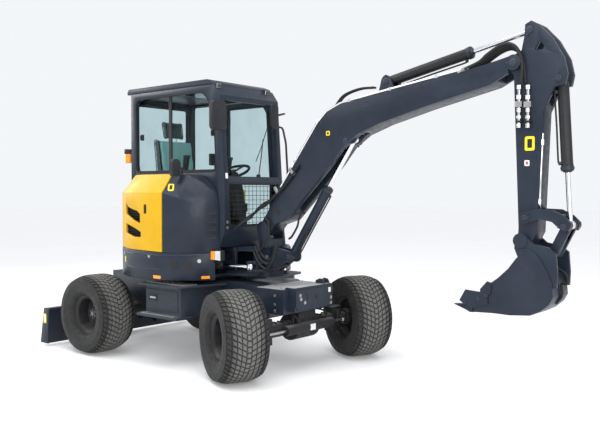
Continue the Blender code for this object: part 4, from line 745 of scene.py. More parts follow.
# %% Nose plate, deck and lashing lugs
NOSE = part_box("chassis_frame")[1]
shape = bmesh.new()
ring = [(NOSE.x + 0.0002, y, z) for y, z in ((-0.262, 0.745), (0.262, 0.745), (0.262, 0.60),
    (0.225, 0.562), (-0.225, 0.562), (-0.262, 0.60))]
add_prism(shape, ring, (0.008, 0, 0))
settle("nose_plate", shape, GRAPHITE, "chassis", 0.003)
spots = [(NOSE.x + 0.008, y, z) for y, z in ((-0.205, 0.700), (-0.195, 0.665), (-0.140, 0.630),
    (0.235, 0.59), (0.235, 0.64))]
bolts("nose_bolts", spots, (1, 0, 0), "chassis", 0.011)
shape = bmesh.new()
for index in range(12):
    angle = math.pi * (0.15 + 0.5 * index / 11)
    at = Vector((NOSE.x + 0.008, -0.165 + 0.062 * math.sin(angle), 0.668 + 0.062 * math.cos(angle)))
    add_bar(shape, at, at + Vector((0.004, 0, 0)), 0.006, 10)
settle("nose_scale", shape, GRAPHITE_SHEET_AND_PAINTED_HIGHLIGHT, "chassis")
shape = bmesh.new()
add_bar(shape, (NOSE.x + 0.006, 0.03, 0.672), (NOSE.x + 0.012, 0.03, 0.672), 0.016, 20)
add_bar(shape, (NOSE.x + 0.006, 0.03, 0.652), (NOSE.x + 0.011, 0.03, 0.652), 0.010, 16)
settle("nose_port", shape, BLACK_PAINT_AND_PAINTED_SHADE, "chassis")
plate("nose_mark", "chassis_frame", (NOSE.x + 1, 0.215, 0.712), (-1, 0, 0), (0.034, 0.044), WHITE_PLATE,
    "chassis", thick=0.0105)
for side in (-1, 1):
    bolts("frame_bolts_%s" % "rl"[side > 0],
        [lower(0.987, side * 0.3302, z) for z in (0.692, 0.615, 0.558)], (0, side, 0), "chassis", 0.011)
block("nose_deck", lower(0.76, -0.318, 0.7502), lower(1.055, 0.318, 0.7540), DECK, "chassis",
    0.001)
block("nose_lid", lower(1.075, -0.258, 0.7652), lower(1.158, 0.258, 0.7690), DECK, "chassis",
    0.0015)
bolts("nose_lid_bolts", [lower(x, y, 0.7540) for x in (0.80, 1.02) for y in (-0.28, 0.28)], (0, 0, 1),
    "chassis", 0.008)
shape = bmesh.new()
for y in (0.165, 0.235):
    outline = [(-0.115, 0.7690), (-0.11, 0.795), (-0.065, 0.815), (-0.03, 0.808), (-0.012, 0.785),
        (-0.008, 0.7690)]
    add_prism(shape, [(NOSE.x + dx, y - 0.007, z) for dx, z in outline], (0, 0.014, 0))
add_bar(shape, (NOSE.x - 0.058, 0.160, 0.792), (NOSE.x - 0.058, 0.240, 0.792), 0.012)
ring = []
for index in range(20):
    angle = math.tau * index / 20
    ring.append((NOSE.x - 0.075 + 0.075 * math.cos(angle), 0.2702, 0.705 + 0.070 * math.sin(angle)))
add_prism(shape, ring, (0, 0.014, 0))
settle("lashing_lugs", shape, GRAPHITE_SHEET_AND_PAINTED_HIGHLIGHT, "chassis", 0.002)
spots = [(NOSE.x - 0.075 + 0.052 * math.cos(math.tau * k / 6), 0.2842,
    0.705 + 0.050 * math.sin(math.tau * k / 6)) for k in range(6)]
bolts("flange_bolts", spots, (0, 1, 0), "chassis", 0.008)
print("nose box dressed")

# %% [markdown]
# A step has to bite into a muddy boot, so its tread is made of steel strips with teeth cut along
# their upper edge. Each strip is a zigzag outline given some thickness.

# %% Toothed treads and the locker's latch
def toothed_strip(shape, x_low, x_high, y, z, height=0.012, pitch=0.022, thick=0.004):
    ring = [(x_low, y, z)]
    for index in range(int((x_high - x_low) / pitch)):
        x = x_low + index * pitch
        ring += [(x, y, z + height), (x + pitch * 0.45, y, z + height * 0.45),
            (x + pitch * 0.55, y, z + height * 0.45)]
    ring += [(x_high, y, z + height), (x_high, y, z)]
    add_prism(shape, ring, (0, thick, 0))


for side, name in ((-1, "right"), (1, "left")):
    box_low, box_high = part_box("step_box_" + name)
    outer = max(abs(box_low.y), abs(box_high.y))
    shape = bmesh.new()
    for index in range(5):
        y = side * (outer - 0.10 - 0.036 * index)
        toothed_strip(shape, box_low.x + 0.05, box_high.x - 0.10, y - 0.002, box_high.z)
    for x in (box_low.x + 0.06, (box_low.x + box_high.x) / 2 - 0.03, box_high.x - 0.12):
        ends = sorted((side * (outer - 0.095), side * (outer - 0.25)))
        add_block(shape, (x, ends[0], box_high.z), (x + 0.006, ends[1], box_high.z + 0.006))
    settle("upper_tread_" + name, shape, STEEL, "chassis")
    shape = bmesh.new()
    for index in range(4):
        y = side * (outer - 0.022 - 0.034 * index)
        toothed_strip(shape, box_low.x + 0.05, box_high.x - 0.16, y - 0.002, 0.485)
    settle("lower_tread_" + name, shape, STEEL, "chassis")
    flank, _ = touch("step_box_" + name, (box_low.x + 0.24, side * 2, 0.62), (0, -side, 0))
    face = flank.y
    shape = bmesh.new()
    ring = [(box_low.x + dx, face, z) for dx, z in ((0.06, 0.52), (0.50, 0.52), (0.50, 0.71),
        (0.06, 0.71))]
    add_prism(shape, ring, (0, side * 0.004, 0))
    settle("locker_lid_" + name, shape, GRAPHITE_SHEET_AND_PAINTED_HIGHLIGHT, "chassis", 0.0015)
    ends = sorted((face + side * 0.003, face + side * 0.007))
    block("locker_recess_" + name, (box_low.x + 0.10, ends[0], 0.60), (box_low.x + 0.22, ends[1], 0.67),
        PLASTIC, "chassis", bevel=0.002)
    ends = sorted((face + side * 0.006, face + side * 0.013))
    block("locker_latch_" + name, (box_low.x + 0.12, ends[0], 0.625), (box_low.x + 0.20, ends[1], 0.642),
        STEEL, "chassis", 0.002)
print("steps and lockers dressed")

# %% [markdown]
# The dozer blade gets a bolted cutting edge of bare, worn steel, stiffening ribs on its back, and
# plain warning fields on its cheeks.

# %% Blade edge, ribs and fields
blade_low, blade_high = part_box("blade")
shape = bmesh.new()
ring = [(blade_low.x + 0.055, blade_low.y + 0.02, z) for z in (0.034, 0.10)] + [(blade_low.x + 0.088,
    blade_low.y + 0.02, 0.10), (blade_low.x + 0.088, blade_low.y + 0.02, 0.034)]
add_prism(shape, ring, (0, blade_high.y - blade_low.y - 0.04, 0))
for index in range(9):
    y = blade_low.y + 0.12 + index * (blade_high.y - blade_low.y - 0.24) / 8
    add_bolt(shape, (blade_low.x + 0.056, y, 0.068), (-1, 0, 0), 0.011, 0.007)
settle("blade_edge", shape, WORN_STEEL, "blade", 0.002)
for side, name in ((-1, "right"), (1, "left")):
    plate("blade_field_" + name, "blade", (blade_low.x + 0.09, side * 2, 0.29), (0, -side, 0),
        (0.05, 0.10), YELLOW_PLATE, "blade", rim=WHITE_PLATE)
shape = bmesh.new()
for y in (-0.62, -0.42, 0.42, 0.62):
    ring = [(PIN["blade_lift"].x - 0.62 + dx, y - 0.006, z) for dx, z in ((0, 0), (0, 0), (0, 0))]
for y in (-0.70, -0.45, 0.45, 0.70):
    back, _ = touch("blade", (blade_high.x, y, 0.12), (-1, 0, 0))
    crest, _ = touch("blade", (blade_high.x, y, 0.34), (-1, 0, 0))
    add_prism(shape, [(back.x - 0.004, y - 0.006, 0.07), (back.x + 0.035, y - 0.006, 0.09),
        (crest.x + 0.045, y - 0.006, 0.30),
                      (crest.x - 0.004, y - 0.006, 0.35)], (0, 0.012, 0))
settle("blade_ribs", shape, GRAPHITE, "blade", 0.002)
print("blade dressed")

# %% [markdown]
# ## The house
#
# The counterweight is a thick casting with a pressed ridge below its upper edge, coloured a lighter grey
# as a painted highlight, a pair of slanted recesses at the front corner, drawn as flat black plates of
# painted shade, and clear and amber lamps. The ridge follows the outside of the casting, so it is found
# by sending a ring of lines inwards at it.

# %% Counterweight: ridge, recesses, bolts and lamps
AXIS = upper(0, 0, 0)


def round_the_house(node, height, first, last, steps, lift=0.0):
    """Points on the outside of a piece, for bearings from the slew axis in degrees."""
    path = []
    for index in range(steps + 1):
        bearing = math.radians(first + (last - first) * index / steps)
        away = Vector((math.cos(bearing), math.sin(bearing), 0))
        at, _ = touch(node, AXIS + away * 3 + Vector((0, 0, height)), -away)
        path.append(at + away * lift)
    return path


# The ridge is a real tube, and its lighter grey is a painted highlight along the upper edge.
shape = bmesh.new()
add_sweep(shape, round_the_house("counterweight", 1.035, -46, -314, 90, -0.002), 0.006, 8)
settle("skirt_ridge", shape, GRAPHITE_SHEET_AND_PAINTED_HIGHLIGHT, "house")
shape = bmesh.new()
add_sweep(shape, round_the_house("counterweight", 0.905, -64, -108, 24, -0.003), 0.0045, 8)
settle("skirt_crease", shape, GRAPHITE, "house")
# Each recess is a flat black plate on the casting: painted shade where a sunk face would lie in shade.
for index, x in enumerate((0.375, 0.475)):
    start, away = touch("counterweight", upper(x, -2, 0.945), (0, 1, 0))
    along = Vector((-away.y, away.x, 0))
    shape = bmesh.new()
    ring = [start + along * dx + Vector((0, 0, dz)) + away * 0.001 for dx,
        dz in ((-0.050, 0.034), (0.028, 0.034), (0.050, -0.034), (-0.020, -0.034))]
    add_prism(shape, ring, away * 0.002)
    settle("skirt_recess_%d" % index, shape, BLACK_PAINT_AND_PAINTED_SHADE, "house")
spots = [touch("counterweight", upper(x, -2, z), (0, 1, 0)) for x,
    z in ((0.094, 1.02), (0.545, 0.985), (-0.35, 1.02))]
shape = bmesh.new()
for at, away in spots:
    add_bolt(shape, at, away, 0.012, 0.007)
settle("skirt_bolts", shape, STEEL, "house")
plate("skirt_mark", "counterweight", upper(-0.33, -2, 0.965), (0, 1, 0), (0.035, 0.06), YELLOW_PLATE,
    "house")
plate("side_reflector", "counterweight", upper(0.21, -2, 0.835), (0, 1, 0), (0.10, 0.028),
    AMBER_REFLECTOR, "house", thick=0.006)
for side, name in ((-1, "right"), (1, "left")):
    plate("rear_reflector_" + name, "counterweight", upper(-2, side * 0.42, 0.86), (1, 0, 0),
        (0.09, 0.03), RED_PLATE, "house", thick=0.005)
    plate("rear_lamp_body_" + name, "counterweight", upper(-2, side * 0.50, 0.97), (1, 0, 0),
        (0.15, 0.075), PLASTIC, "house", thick=0.012)
    plate("rear_lamp_" + name, "counterweight", upper(-2, side * 0.50, 0.97), (1, 0, 0), (0.125, 0.055),
        AMBER_REFLECTOR, "house", thick=0.018, rim=RED_PLATE)
print("counterweight dressed")

# %% [markdown]
# The headlamp and the turn lamp sit in the corner between the counterweight and the cab. A lens is
# only convincing with something behind it, so each has a bright bowl, a ribbed lens and a housing.

# %% Corner lamps and their brackets
block("corner_lamp_housing", upper(0.585, -0.525, 0.985), upper(0.700, -0.462, 1.078), PLASTIC, "house",
    bevel=0.006)
block("turn_lens", upper(0.588, -0.541, 0.992), upper(0.636, -0.518, 1.072), AMBER_REFLECTOR, "house",
    0.008)
shape = bmesh.new()
for index in range(7):
    z = 0.996 + index * 0.0112
    add_block(shape, upper(0.642, -0.537, z), upper(0.698, -0.520, z + 0.0075))
add_block(shape, upper(0.645, -0.530, 0.993), upper(0.695, -0.518, 1.073))
settle("headlamp_lens", shape, WHITE_PLATE, "house", 0.0015)
block("headlamp_bezel", upper(0.638, -0.526, 0.988), upper(0.702, -0.516, 1.077), CHROME, "house",
    0.003)
shape = bmesh.new()
add_sweep(shape, eased([upper(0.60, -0.49, 0.995), upper(0.585, -0.49, 0.985), upper(0.57, -0.47, 1.00),
    upper(0.55, -0.45, 1.02)], 5), 0.005, 8)
settle("lamp_cable", shape, HOSE, "house")

# the heavy cheeks beside the swing bracket
for side, name in ((-1, "right"), (1, "left")):
    y = BOOM_Y + side * 0.142
    shape = bmesh.new()
    outer = [(0.40, 1.098), (0.52, 1.105), (0.605, 1.090), (0.630, 1.055), (0.630, 0.945),
        (0.605, 0.905), (0.52, 0.885), (0.40, 0.88)]
    inner = [(0.475, 1.045), (0.52, 1.052), (0.575, 1.045), (0.592, 1.025), (0.592, 0.985),
        (0.575, 0.968), (0.52, 0.962), (0.475, 0.968)]
    rings = []
    for outline, depth in ((outer, 0.0), (inner, 0.0), (inner, 0.028), (outer, 0.028)):
        rings.append([shape.verts.new(upper(x, y + side * depth, z)) for x, z in outline])
    for first, second in zip(rings, rings[1:] + rings[:1]):
        for index in range(len(outer)):
            after = (index + 1) % len(outer)
            shape.faces.new((first[index], first[after], second[after], second[index]))
    settle("nose_cheek_" + name, shape, GRAPHITE, "house", 0.006, segments=3)
bolts("nose_cheek_bolts", [upper(x, BOOM_Y - 0.170, z) for x,
    z in ((0.425, 1.07), (0.425, 0.915), (0.445, 0.99))], (0, -1, 0), "house", 0.010)
plate("nose_reflector", "counterweight", upper(0.575, -2, 0.835), (0, 1, 0), (0.08, 0.026),
    AMBER_REFLECTOR, "house", thick=0.005)
print("corner lamps and swing cheeks placed")

# %% [markdown]
# The yellow hood is a moulded panel. Its vents are open slots with black louvres behind, and its
# latch is a slim paddle in a dark recess. Everything on it rides on the hood, so that it all swings
# away together when the hood is opened.

# %% Hood louvres and latches
def louvres(name, body, corner, along, length, z_low, z_high, facing, count):
    """A dark panel with slanted slats, behind an opening."""
    shape = bmesh.new()
    along, facing = Vector(along), Vector(facing)
    add_prism(shape, [corner + along * 0 + Vector((0, 0, z_low)),
        corner + along * length + Vector((0, 0, z_low)),
                      corner + along * length + Vector((0, 0, z_high)), corner + Vector((0, 0, z_high))],
                      -facing * 0.004)
    for index in range(count):
        z = z_low + (index + 0.5) * (z_high - z_low) / count
        ring = [corner + Vector((0, 0, z - 0.006)), corner + facing * 0.018 + Vector((0, 0, z - 0.014)),
                corner + facing * 0.018 + Vector((0, 0, z - 0.010)), corner + Vector((0, 0, z))]
        add_prism(shape, ring, along * length)
    return settle(name, shape, PLASTIC, body)


louvres("side_louvres", "hood_right", upper(-0.35, -0.758, 0), (1, -0.04, 0), 0.375, 1.150, 1.53,
    (-0.04, -1, 0), 16)
for side, name in ((-1, "right"), (1, "left")):
    corner = upper(-0.722, side * 0.006, 0)
    louvres("rear_louvres_" + name, "hood_" + name, corner, (0, side, 0), 0.385, 1.100, 1.445,
        (-1, 0, 0), 12)
    latch_x, latch_y = (0.04, -0.845) if side < 0 else (-0.36, 0.78)
    at, away = touch("hood_" + name, upper(latch_x, side * 2, 1.454), (0, -side, 0))
    plate("hood_latch_recess_" + name, "hood_" + name, upper(latch_x, side * 2, 1.454), (0, -side, 0),
        (0.034, 0.085), BLACK_PAINT_AND_PAINTED_SHADE, "hood_" + name, thick=0.002)
    plate("hood_latch_" + name, "hood_" + name, upper(latch_x, side * 2, 1.450), (0, -side, 0),
        (0.016, 0.055), PLASTIC, "hood_" + name, thick=0.008)
plate("seam_field", "side_cover", upper(0.315, -3, 2.55), (0, 2.24, -0.90), (0.055, 0.075), YELLOW_PLATE,
    "house", rim=BLACK_PAINT_AND_PAINTED_SHADE)
# Each slot is a flat black plate, painted shade for the dark inside of an opening, and the lighter strip
# along its lower edge is a painted highlight.
for index, z in enumerate((1.425, 1.350, 1.275, 1.200)):
    at, away = touch("side_cover", upper(0.90, -0.90, z), (-0.62, 0.78, 0))
    along = Vector((-away.y, away.x, 0))
    corners = [(-0.052, 0.018), (0.030, 0.018), (0.042, 0.004), (0.042, -0.018), (-0.040, -0.018),
        (-0.052, -0.004)]
    for part, (lift, coat_of) in enumerate(((0.002, BLACK_PAINT_AND_PAINTED_SHADE), (0.004, GRAPHITE_SHEET_AND_PAINTED_HIGHLIGHT))):
        shape = bmesh.new()
        if part == 0:
            add_prism(shape, [at + along * dx + Vector((0, 0, dz)) - away * 0.001 for dx, dz in corners],
                away * lift)
        else:
            ring = [at + along * dx + Vector((0, 0, dz)) for dx,
                dz in ((-0.050, -0.018), (0.040, -0.018), (0.036, -0.010), (-0.046, -0.010))]
            add_prism(shape, ring, away * lift)
        settle("cover_slot_%d%s" % (index, ("", "_lip_painted_highlight")[part]), shape, coat_of, "house",
            smooth=False)
print("hoods and side cover dressed")

# %% [markdown]
# ## The cab
#
# Every pane sits in a black rubber seal that shows as a thin dark line round the opening. A sliding
# window adds a vertical joint and two latches. The seal is a tube along the rounded outline of the
# opening.

# %% Window seals, joints and latches
def rounded_loop(points, radius, steps=5):
    """A closed outline with its corners rounded off."""
    made = []
    count = len(points)
    for index in range(count):
        corner = Vector(points[index])
        back = (Vector(points[index - 1]) - corner)
        forth = (Vector(points[(index + 1) % count]) - corner)
        cut = min(radius, back.length / 2, forth.length / 2)
        first, last = corner + back.normalized() * cut, corner + forth.normalized() * cut
        for step in range(steps + 1):
            t = step / steps
            made.append(first * (1 - t) ** 2 + corner * 2 * t * (1 - t) + last * t**2)
    return made


def seal(name, corners, radius, thickness, body, finish=SEAL):
    loop = rounded_loop(corners, radius)
    shape = bmesh.new()
    add_sweep(shape, loop + loop[:2], thickness, 8)
    return settle(name, shape, finish, body)


CAB_RIGHT_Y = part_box("cab_frame")[0].y
CAB_LEFT_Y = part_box("cab_frame")[1].y
right_opening = [(-0.58, 1.80), (0.585, 1.80), (0.555, 2.36), (0.42, 2.54), (-0.58, 2.54)]
seal("seal_right", [upper(x, CAB_RIGHT_Y + 0.004, z) for x, z in right_opening], 0.07, 0.008, "house")
left_opening = [(-0.58, 1.80), (-0.19, 1.80), (-0.19, 2.53), (-0.58, 2.53)]
seal("seal_left", [upper(x, CAB_LEFT_Y - 0.004, z) for x, z in left_opening], 0.03, 0.008, "house")
rear_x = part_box("glass_rear")[0].x
seal("seal_rear", [Vector((rear_x - 0.038, y, z)) for y,
    z in ((CAB_RIGHT_Y + 0.06, 1.805), (CAB_LEFT_Y - 0.06, 1.805), (CAB_LEFT_Y - 0.06, 2.495),
    (CAB_RIGHT_Y + 0.06, 2.495))],
     0.03, 0.008, "house")
seal("seal_front_low", [upper(0.686, y, z) for y,
    z in ((CAB_RIGHT_Y + 0.062, 1.302), (CAB_LEFT_Y - 0.062, 1.302), (CAB_LEFT_Y - 0.062, 1.684),
    (CAB_RIGHT_Y + 0.062, 1.684))],
     0.03, 0.007, "house")
block("window_joint", upper(-0.105, CAB_RIGHT_Y + 0.026, 1.802),
    upper(-0.066, CAB_RIGHT_Y + 0.0445, 2.538), PLASTIC, "house", bevel=0.004)
block("window_sill", upper(-0.575, CAB_RIGHT_Y + 0.022, 1.802),
    upper(0.575, CAB_RIGHT_Y + 0.0445, 1.822), PLASTIC, "house", bevel=0.004)
for index, x in enumerate((-0.520, 0.512)):
    block("window_latch_%d" % index, upper(x - 0.018, CAB_RIGHT_Y + 0.020, 2.130),
        upper(x + 0.018, CAB_RIGHT_Y + 0.0445, 2.190), PLASTIC, "house", bevel=0.005)
    block("window_latch_lever_%d" % index, upper(x - 0.007, CAB_RIGHT_Y + 0.008, 2.135),
        upper(x + 0.007, CAB_RIGHT_Y + 0.024, 2.175), BLACK_PAINT_AND_PAINTED_SHADE, "house", bevel=0.003)
print("seals and joints placed")

# %% [markdown]
# The lower half of the windscreen is guarded by a welded wire mesh in a slim frame. Crossing wires
# catch the light one by one, which no picture of a mesh would do, so every wire is real.

# %% Wire guard, pillar fittings and roof lamps
guard_x = 0.668
y_first, y_last = CAB_RIGHT_Y + 0.062, CAB_LEFT_Y - 0.062
shape = bmesh.new()
for index in range(13):
    y = y_first + (y_last - y_first) * (index + 0.5) / 13
    add_bar(shape, upper(guard_x, y, 1.302), upper(guard_x, y, 1.684), 0.0022, 6)
for index in range(9):
    z = 1.302 + (1.684 - 1.302) * (index + 0.5) / 9
    add_bar(shape, upper(guard_x + 0.004, y_first, z), upper(guard_x + 0.004, y_last, z), 0.0022, 6)
settle("front_guard", shape, BLACK_PAINT_AND_PAINTED_SHADE, "house")
bolts("pillar_bolts", [upper(0.6905, y, z) for y,
    z in ((-0.418, 1.285), (-0.418, 1.335), (0.300, 1.285), (0.300, 1.335))], (1, 0, 0), "house", 0.011)
plate("pillar_plate", "cab_frame", upper(2, -0.425, 1.76), (-1, 0, 0), (0.03, 0.05), WHITE_PLATE, "house")
block("front_header", upper(0.600, CAB_RIGHT_Y + 0.06, 2.462), upper(0.632, CAB_LEFT_Y - 0.06, 2.492),
    GRAPHITE_SHEET_AND_PAINTED_HIGHLIGHT, "house", 0.004)
block("front_rail", upper(0.655, CAB_RIGHT_Y + 0.05, 1.700), upper(0.692, CAB_LEFT_Y - 0.05, 1.745),
    GRAPHITE_SHEET_AND_PAINTED_HIGHLIGHT, "house", 0.006)
wiper = bmesh.new()
add_sweep(wiper, [upper(0.672, 0.02, 1.765), upper(0.668, 0.06, 1.95), upper(0.655, 0.10, 2.12)], 0.005,
    8)
add_sweep(wiper, [upper(0.672, -0.02, 1.90), upper(0.664, 0.07, 2.05), upper(0.648, 0.17, 2.24)], 0.004,
    6)
add_bar(wiper, upper(0.655, 0.02, 1.765), upper(0.682, 0.02, 1.765), 0.016, 16)
settle("wiper", wiper, PLASTIC, "house")


def work_lamp(name, at, aim, body, size=0.05):
    """A small square lamp: a finned housing, a bright bowl and a grey lens plate, on a strap."""
    at, aim = Vector(at), Vector(aim).normalized()
    turn = aim.to_track_quat("Y", "Z").to_matrix().to_4x4()
    for part, (low, high, finish, slot) in enumerate((
            ((-size, -0.045, -size * 0.8), (size, 0.0, size * 0.8), PLASTIC, "black_plastic"),
            ((-size * 0.86, -0.004, -size * 0.66), (size * 0.86, 0.004, size * 0.66), CHROME,
            "chrome_rod"),
            ((-size * 0.78, 0.003, -size * 0.58), (size * 0.78, 0.007, size * 0.58), ENGINE,
            "chrome_rod"))):
        shape = bmesh.new()
        add_block(shape, low, high)
        if part == 0:
            for fin in range(5):
                z = (fin - 2) * size * 0.3
                add_block(shape, (-size * 0.8, -0.056, z - 0.002), (size * 0.8, -0.044, z + 0.002))
            add_block(shape, (-0.010, -0.030, -size * 1.25), (0.010, -0.022, -size * 0.7))
        piece = settle(name + ("", "_bowl", "_lens")[part], shape, finish, None, 0.003)
        piece.matrix_world = Matrix.Translation(at) @ turn
        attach(piece, body)


work_lamp("roof_lamp_right", upper(0.590, -0.425, 2.585), (1, -0.1, -0.15), "house", 0.030)
work_lamp("roof_lamp_left", upper(0.590, 0.225, 2.585), (1, 0.1, -0.15), "house", 0.030)
work_lamp("roof_lamp_middle", upper(0.590, 0.305, 2.520), (1, 0.3, -0.2), "house", 0.024)
shape = bmesh.new()
for y in (-0.425, 0.225):
    add_block(shape, upper(0.545, y - 0.012, 2.560), upper(0.575, y + 0.012, 2.60))
settle("roof_lamp_brackets", shape, BLACK_PAINT_AND_PAINTED_SHADE, "house", 0.002)
shape = bmesh.new()
for y in (-0.30, -0.18, 0.06, 0.18):
    add_block(shape, upper(-0.66, y - 0.012, 2.654), upper(-0.02, y + 0.012, 2.6595))
settle("roof_beads", shape, GRAPHITE, "house", 0.003)
beacon_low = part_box("beacon")[0]
beacon_x = beacon_low.x + 0.045
shape = bmesh.new()
for index in range(7):
    z = beacon_low.z + 0.002 + index * 0.0135
    add_bar(shape, (beacon_x, beacon_low.y + 0.045, z), (beacon_x, beacon_low.y + 0.045, z + 0.0135),
        0.0435, 32, 0.0405)
settle("beacon_lens", shape, AMBER_REFLECTOR, "house")
print("cab front and lamps dressed")

# %% [markdown]
# ## Inside the cab
#
# Through tinted glass only the big shapes are read: the seat, the levers, a small screen and the
# floor mat. The seat is soft, so its cushions are really inflated: a slightly smaller block is
# remeshed finely and blown up as cloth for a few frames, which rounds its faces and draws its
# corners in. Piping is then laid along its seams.

# %% Cloth for the cushions
def woven(name, colour):
    made, graph, shader = new_material(name)
    patches = ramp(graph, noise(graph, 6.0, 5.0), [(0.35, 0.0), (0.65, 1.0)])
    thread = graph.nodes.new("ShaderNodeTexWave")
    thread.inputs["Scale"].default_value = 260.0
    cross = graph.nodes.new("ShaderNodeTexWave")
    cross.bands_direction = "Z"
    cross.inputs["Scale"].default_value = 260.0
    place = graph.nodes.new("ShaderNodeTexCoord").outputs["Object"]
    weave = graph.nodes.new("ShaderNodeMath")
    weave.operation = "MULTIPLY"
    for index, wave in enumerate((thread, cross)):
        graph.links.new(place, wave.inputs["Vector"])
        graph.links.new(wave.outputs["Fac"], weave.inputs[index])
    darker, lighter = tuple(c * 0.7 for c in colour), tuple(c * 1.25 for c in colour)
    tone = mix(graph, patches, darker, lighter)
    shade = mix(graph, weave.outputs["Value"], tone, lighter)
    graph.links.new(shade, shader.inputs["Base Color"])
    graph.links.new(ramp(graph, noise(graph, 90.0), [(0.3, 0.8), (0.7, 0.98)]),
        shader.inputs["Roughness"])
    shader.inputs["Sheen Weight"].default_value = 0.3
    bump(graph, shader, weave.outputs["Value"], 0.5, 0.0008)
    return made


SEAT_CLOTH = woven("seat_cloth", (0.085, 0.120, 0.120))
print("seat cloth ready")

# %% Inflated cushions
SEAT_Y = (CAB_RIGHT_Y + CAB_LEFT_Y) / 2
SEAT_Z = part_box("seat")[0].z


def cushion(name, outline, half_width, swell=0.010):
    """A stuffed cushion from its side outline, blown up as cloth by at most swell."""
    shape = bmesh.new()
    loop = rounded_loop([(x, z, 0) for x, z in outline], 0.03, 4)
    add_prism(shape, [upper(p.x, SEAT_Y - half_width, SEAT_Z + p.y) for p in loop],
        (0, 2 * half_width, 0))
    bmesh.ops.recalc_face_normals(shape, faces=shape.faces)
    mesh = bpy.data.meshes.new(name)
    shape.to_mesh(mesh)
    shape.free()
    piece = bpy.data.objects.new(name, mesh)
    bpy.context.scene.collection.objects.link(piece)
    remesh = piece.modifiers.new("remesh", "REMESH")
    remesh.mode = "VOXEL"
    remesh.voxel_size = 0.007
    piece.data = bpy.data.meshes.new_from_object(piece.evaluated_get(bpy.context.evaluated_depsgraph_get()))
    piece.modifiers.clear()
    rest = [v.co.copy() for v in piece.data.vertices]
    cloth = piece.modifiers.new("inflate", "CLOTH")
    cloth.settings.use_pressure = True
    cloth.settings.uniform_pressure_force = 4.0
    cloth.settings.quality = 4
    cloth.settings.effector_weights.gravity = 0.0
    for step in range(1, 21):
        bpy.context.scene.frame_set(step)
    blown = piece.evaluated_get(bpy.context.evaluated_depsgraph_get()).data
    moved = []
    for before, vertex in zip(rest, blown.vertices):
        shift = vertex.co - before
        moved.append(before + shift * min(1.0, swell / max(shift.length, 1e-9)))
    piece.modifiers.clear()
    bpy.context.scene.frame_set(1)
    for vertex, place in zip(piece.data.vertices, moved):
        vertex.co = place
    piece.data.materials.clear()
    piece.data.materials.append(SEAT_CLOTH)
    piece.data.shade_smooth()
    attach(piece, "house")
    seams = bmesh.new()
    for side in (-1, 1):
        edge = [upper(p.x, SEAT_Y + side * (half_width - 0.002), SEAT_Z + p.y) for p in loop]
        add_sweep(seams, edge + edge[:2], 0.0045, 6)
    settle(name + "_piping", seams, SEAL, "house")
    return piece


squab = cushion("seat_squab", [(-0.45, 0.10), (0.01, 0.11), (0.02, 0.19), (-0.43, 0.18)], 0.218)
back = cushion("seat_back", [(-0.47, 0.19), (-0.39, 0.19), (-0.46, 0.70), (-0.53, 0.70)], 0.208)
headrest = cushion("head_rest", [(-0.49, 0.72), (-0.44, 0.72), (-0.462, 0.885), (-0.53, 0.885)], 0.108)
base_shape = bmesh.new()
for index in range(5):
    low, high = 0.002 + index * 0.019, 0.002 + (index + 1) * 0.019
    shrink = 0.010 * (index % 2)
    add_block(base_shape, upper(-0.42 + shrink, SEAT_Y - 0.15 + shrink, SEAT_Z + low),
        upper(-0.12 - shrink, SEAT_Y + 0.15 - shrink, SEAT_Z + high))
seat_base = settle("seat_bellows", base_shape, PLASTIC, "house", bevel=0.003)
for piece in (squab, back, headrest, seat_base):
    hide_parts("seat")
print("seat made, simulated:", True)

# %% [markdown]
# The levers end in moulded grips over rubber boots. A small blank screen stands at the right
# pillar, and a ribbed mat covers the floor.

# %% Levers, screen, mat and other fittings
for side, name in ((-1, "right"), (1, "left")):
    y = SEAT_Y + side * 0.29
    shape = bmesh.new()
    for index in range(5):
        add_bar(shape, upper(0.02, y, SEAT_Z + 0.268 + index * 0.012),
            upper(0.021, y, SEAT_Z + 0.281 + index * 0.012), 0.040 - index * 0.005, 20,
            0.034 - index * 0.005)
    settle("lever_boot_" + name, shape, SEAL, "house")
    shape = bmesh.new()
    add_sweep(shape, eased([upper(0.040, y, SEAT_Z + 0.375), upper(0.046, y, SEAT_Z + 0.42),
        upper(0.056, y, SEAT_Z + 0.47), upper(0.062, y, SEAT_Z + 0.512)], 4), 0.030, 16)
    add_block(shape, upper(0.045, y - 0.03, SEAT_Z + 0.495), upper(0.085, y + 0.03, SEAT_Z + 0.522))
    settle("lever_grip_" + name, shape, PLASTIC, "house", bevel=0.004)
    shape = bmesh.new()
    add_block(shape, upper(-0.375, y - 0.045, SEAT_Z + 0.271), upper(-0.04, y + 0.045, SEAT_Z + 0.296))
    settle("arm_rest_" + name, shape, SEAL, "house", bevel=0.012, segments=3)
block("screen_case", upper(0.43, CAB_RIGHT_Y + 0.055, 1.86), upper(0.47, CAB_RIGHT_Y + 0.20, 1.97),
    PLASTIC, "house", bevel=0.006)
block("screen_face", upper(0.426, CAB_RIGHT_Y + 0.065, 1.872), upper(0.431, CAB_RIGHT_Y + 0.19, 1.958),
    BLUE_GREY_PLATE, "house", bevel=0.002)
shape = bmesh.new()
add_sweep(shape, [upper(0.45, CAB_RIGHT_Y + 0.12, 1.87), upper(0.47, CAB_RIGHT_Y + 0.10, 1.75),
    upper(0.55, CAB_RIGHT_Y + 0.06, 1.66)], 0.010, 10)
settle("screen_arm", shape, BLACK_PAINT_AND_PAINTED_SHADE, "house")
shape = bmesh.new()
add_block(shape, upper(0.00, CAB_RIGHT_Y + 0.06, 1.146), upper(0.60, CAB_LEFT_Y - 0.06, 1.152))
for index in range(14):
    x = 0.02 + index * 0.04
    add_block(shape, upper(x, CAB_RIGHT_Y + 0.08, 1.151), upper(x + 0.015, CAB_LEFT_Y - 0.08, 1.156))
settle("floor_mat", shape, SEAL, "house", bevel=0.0015)
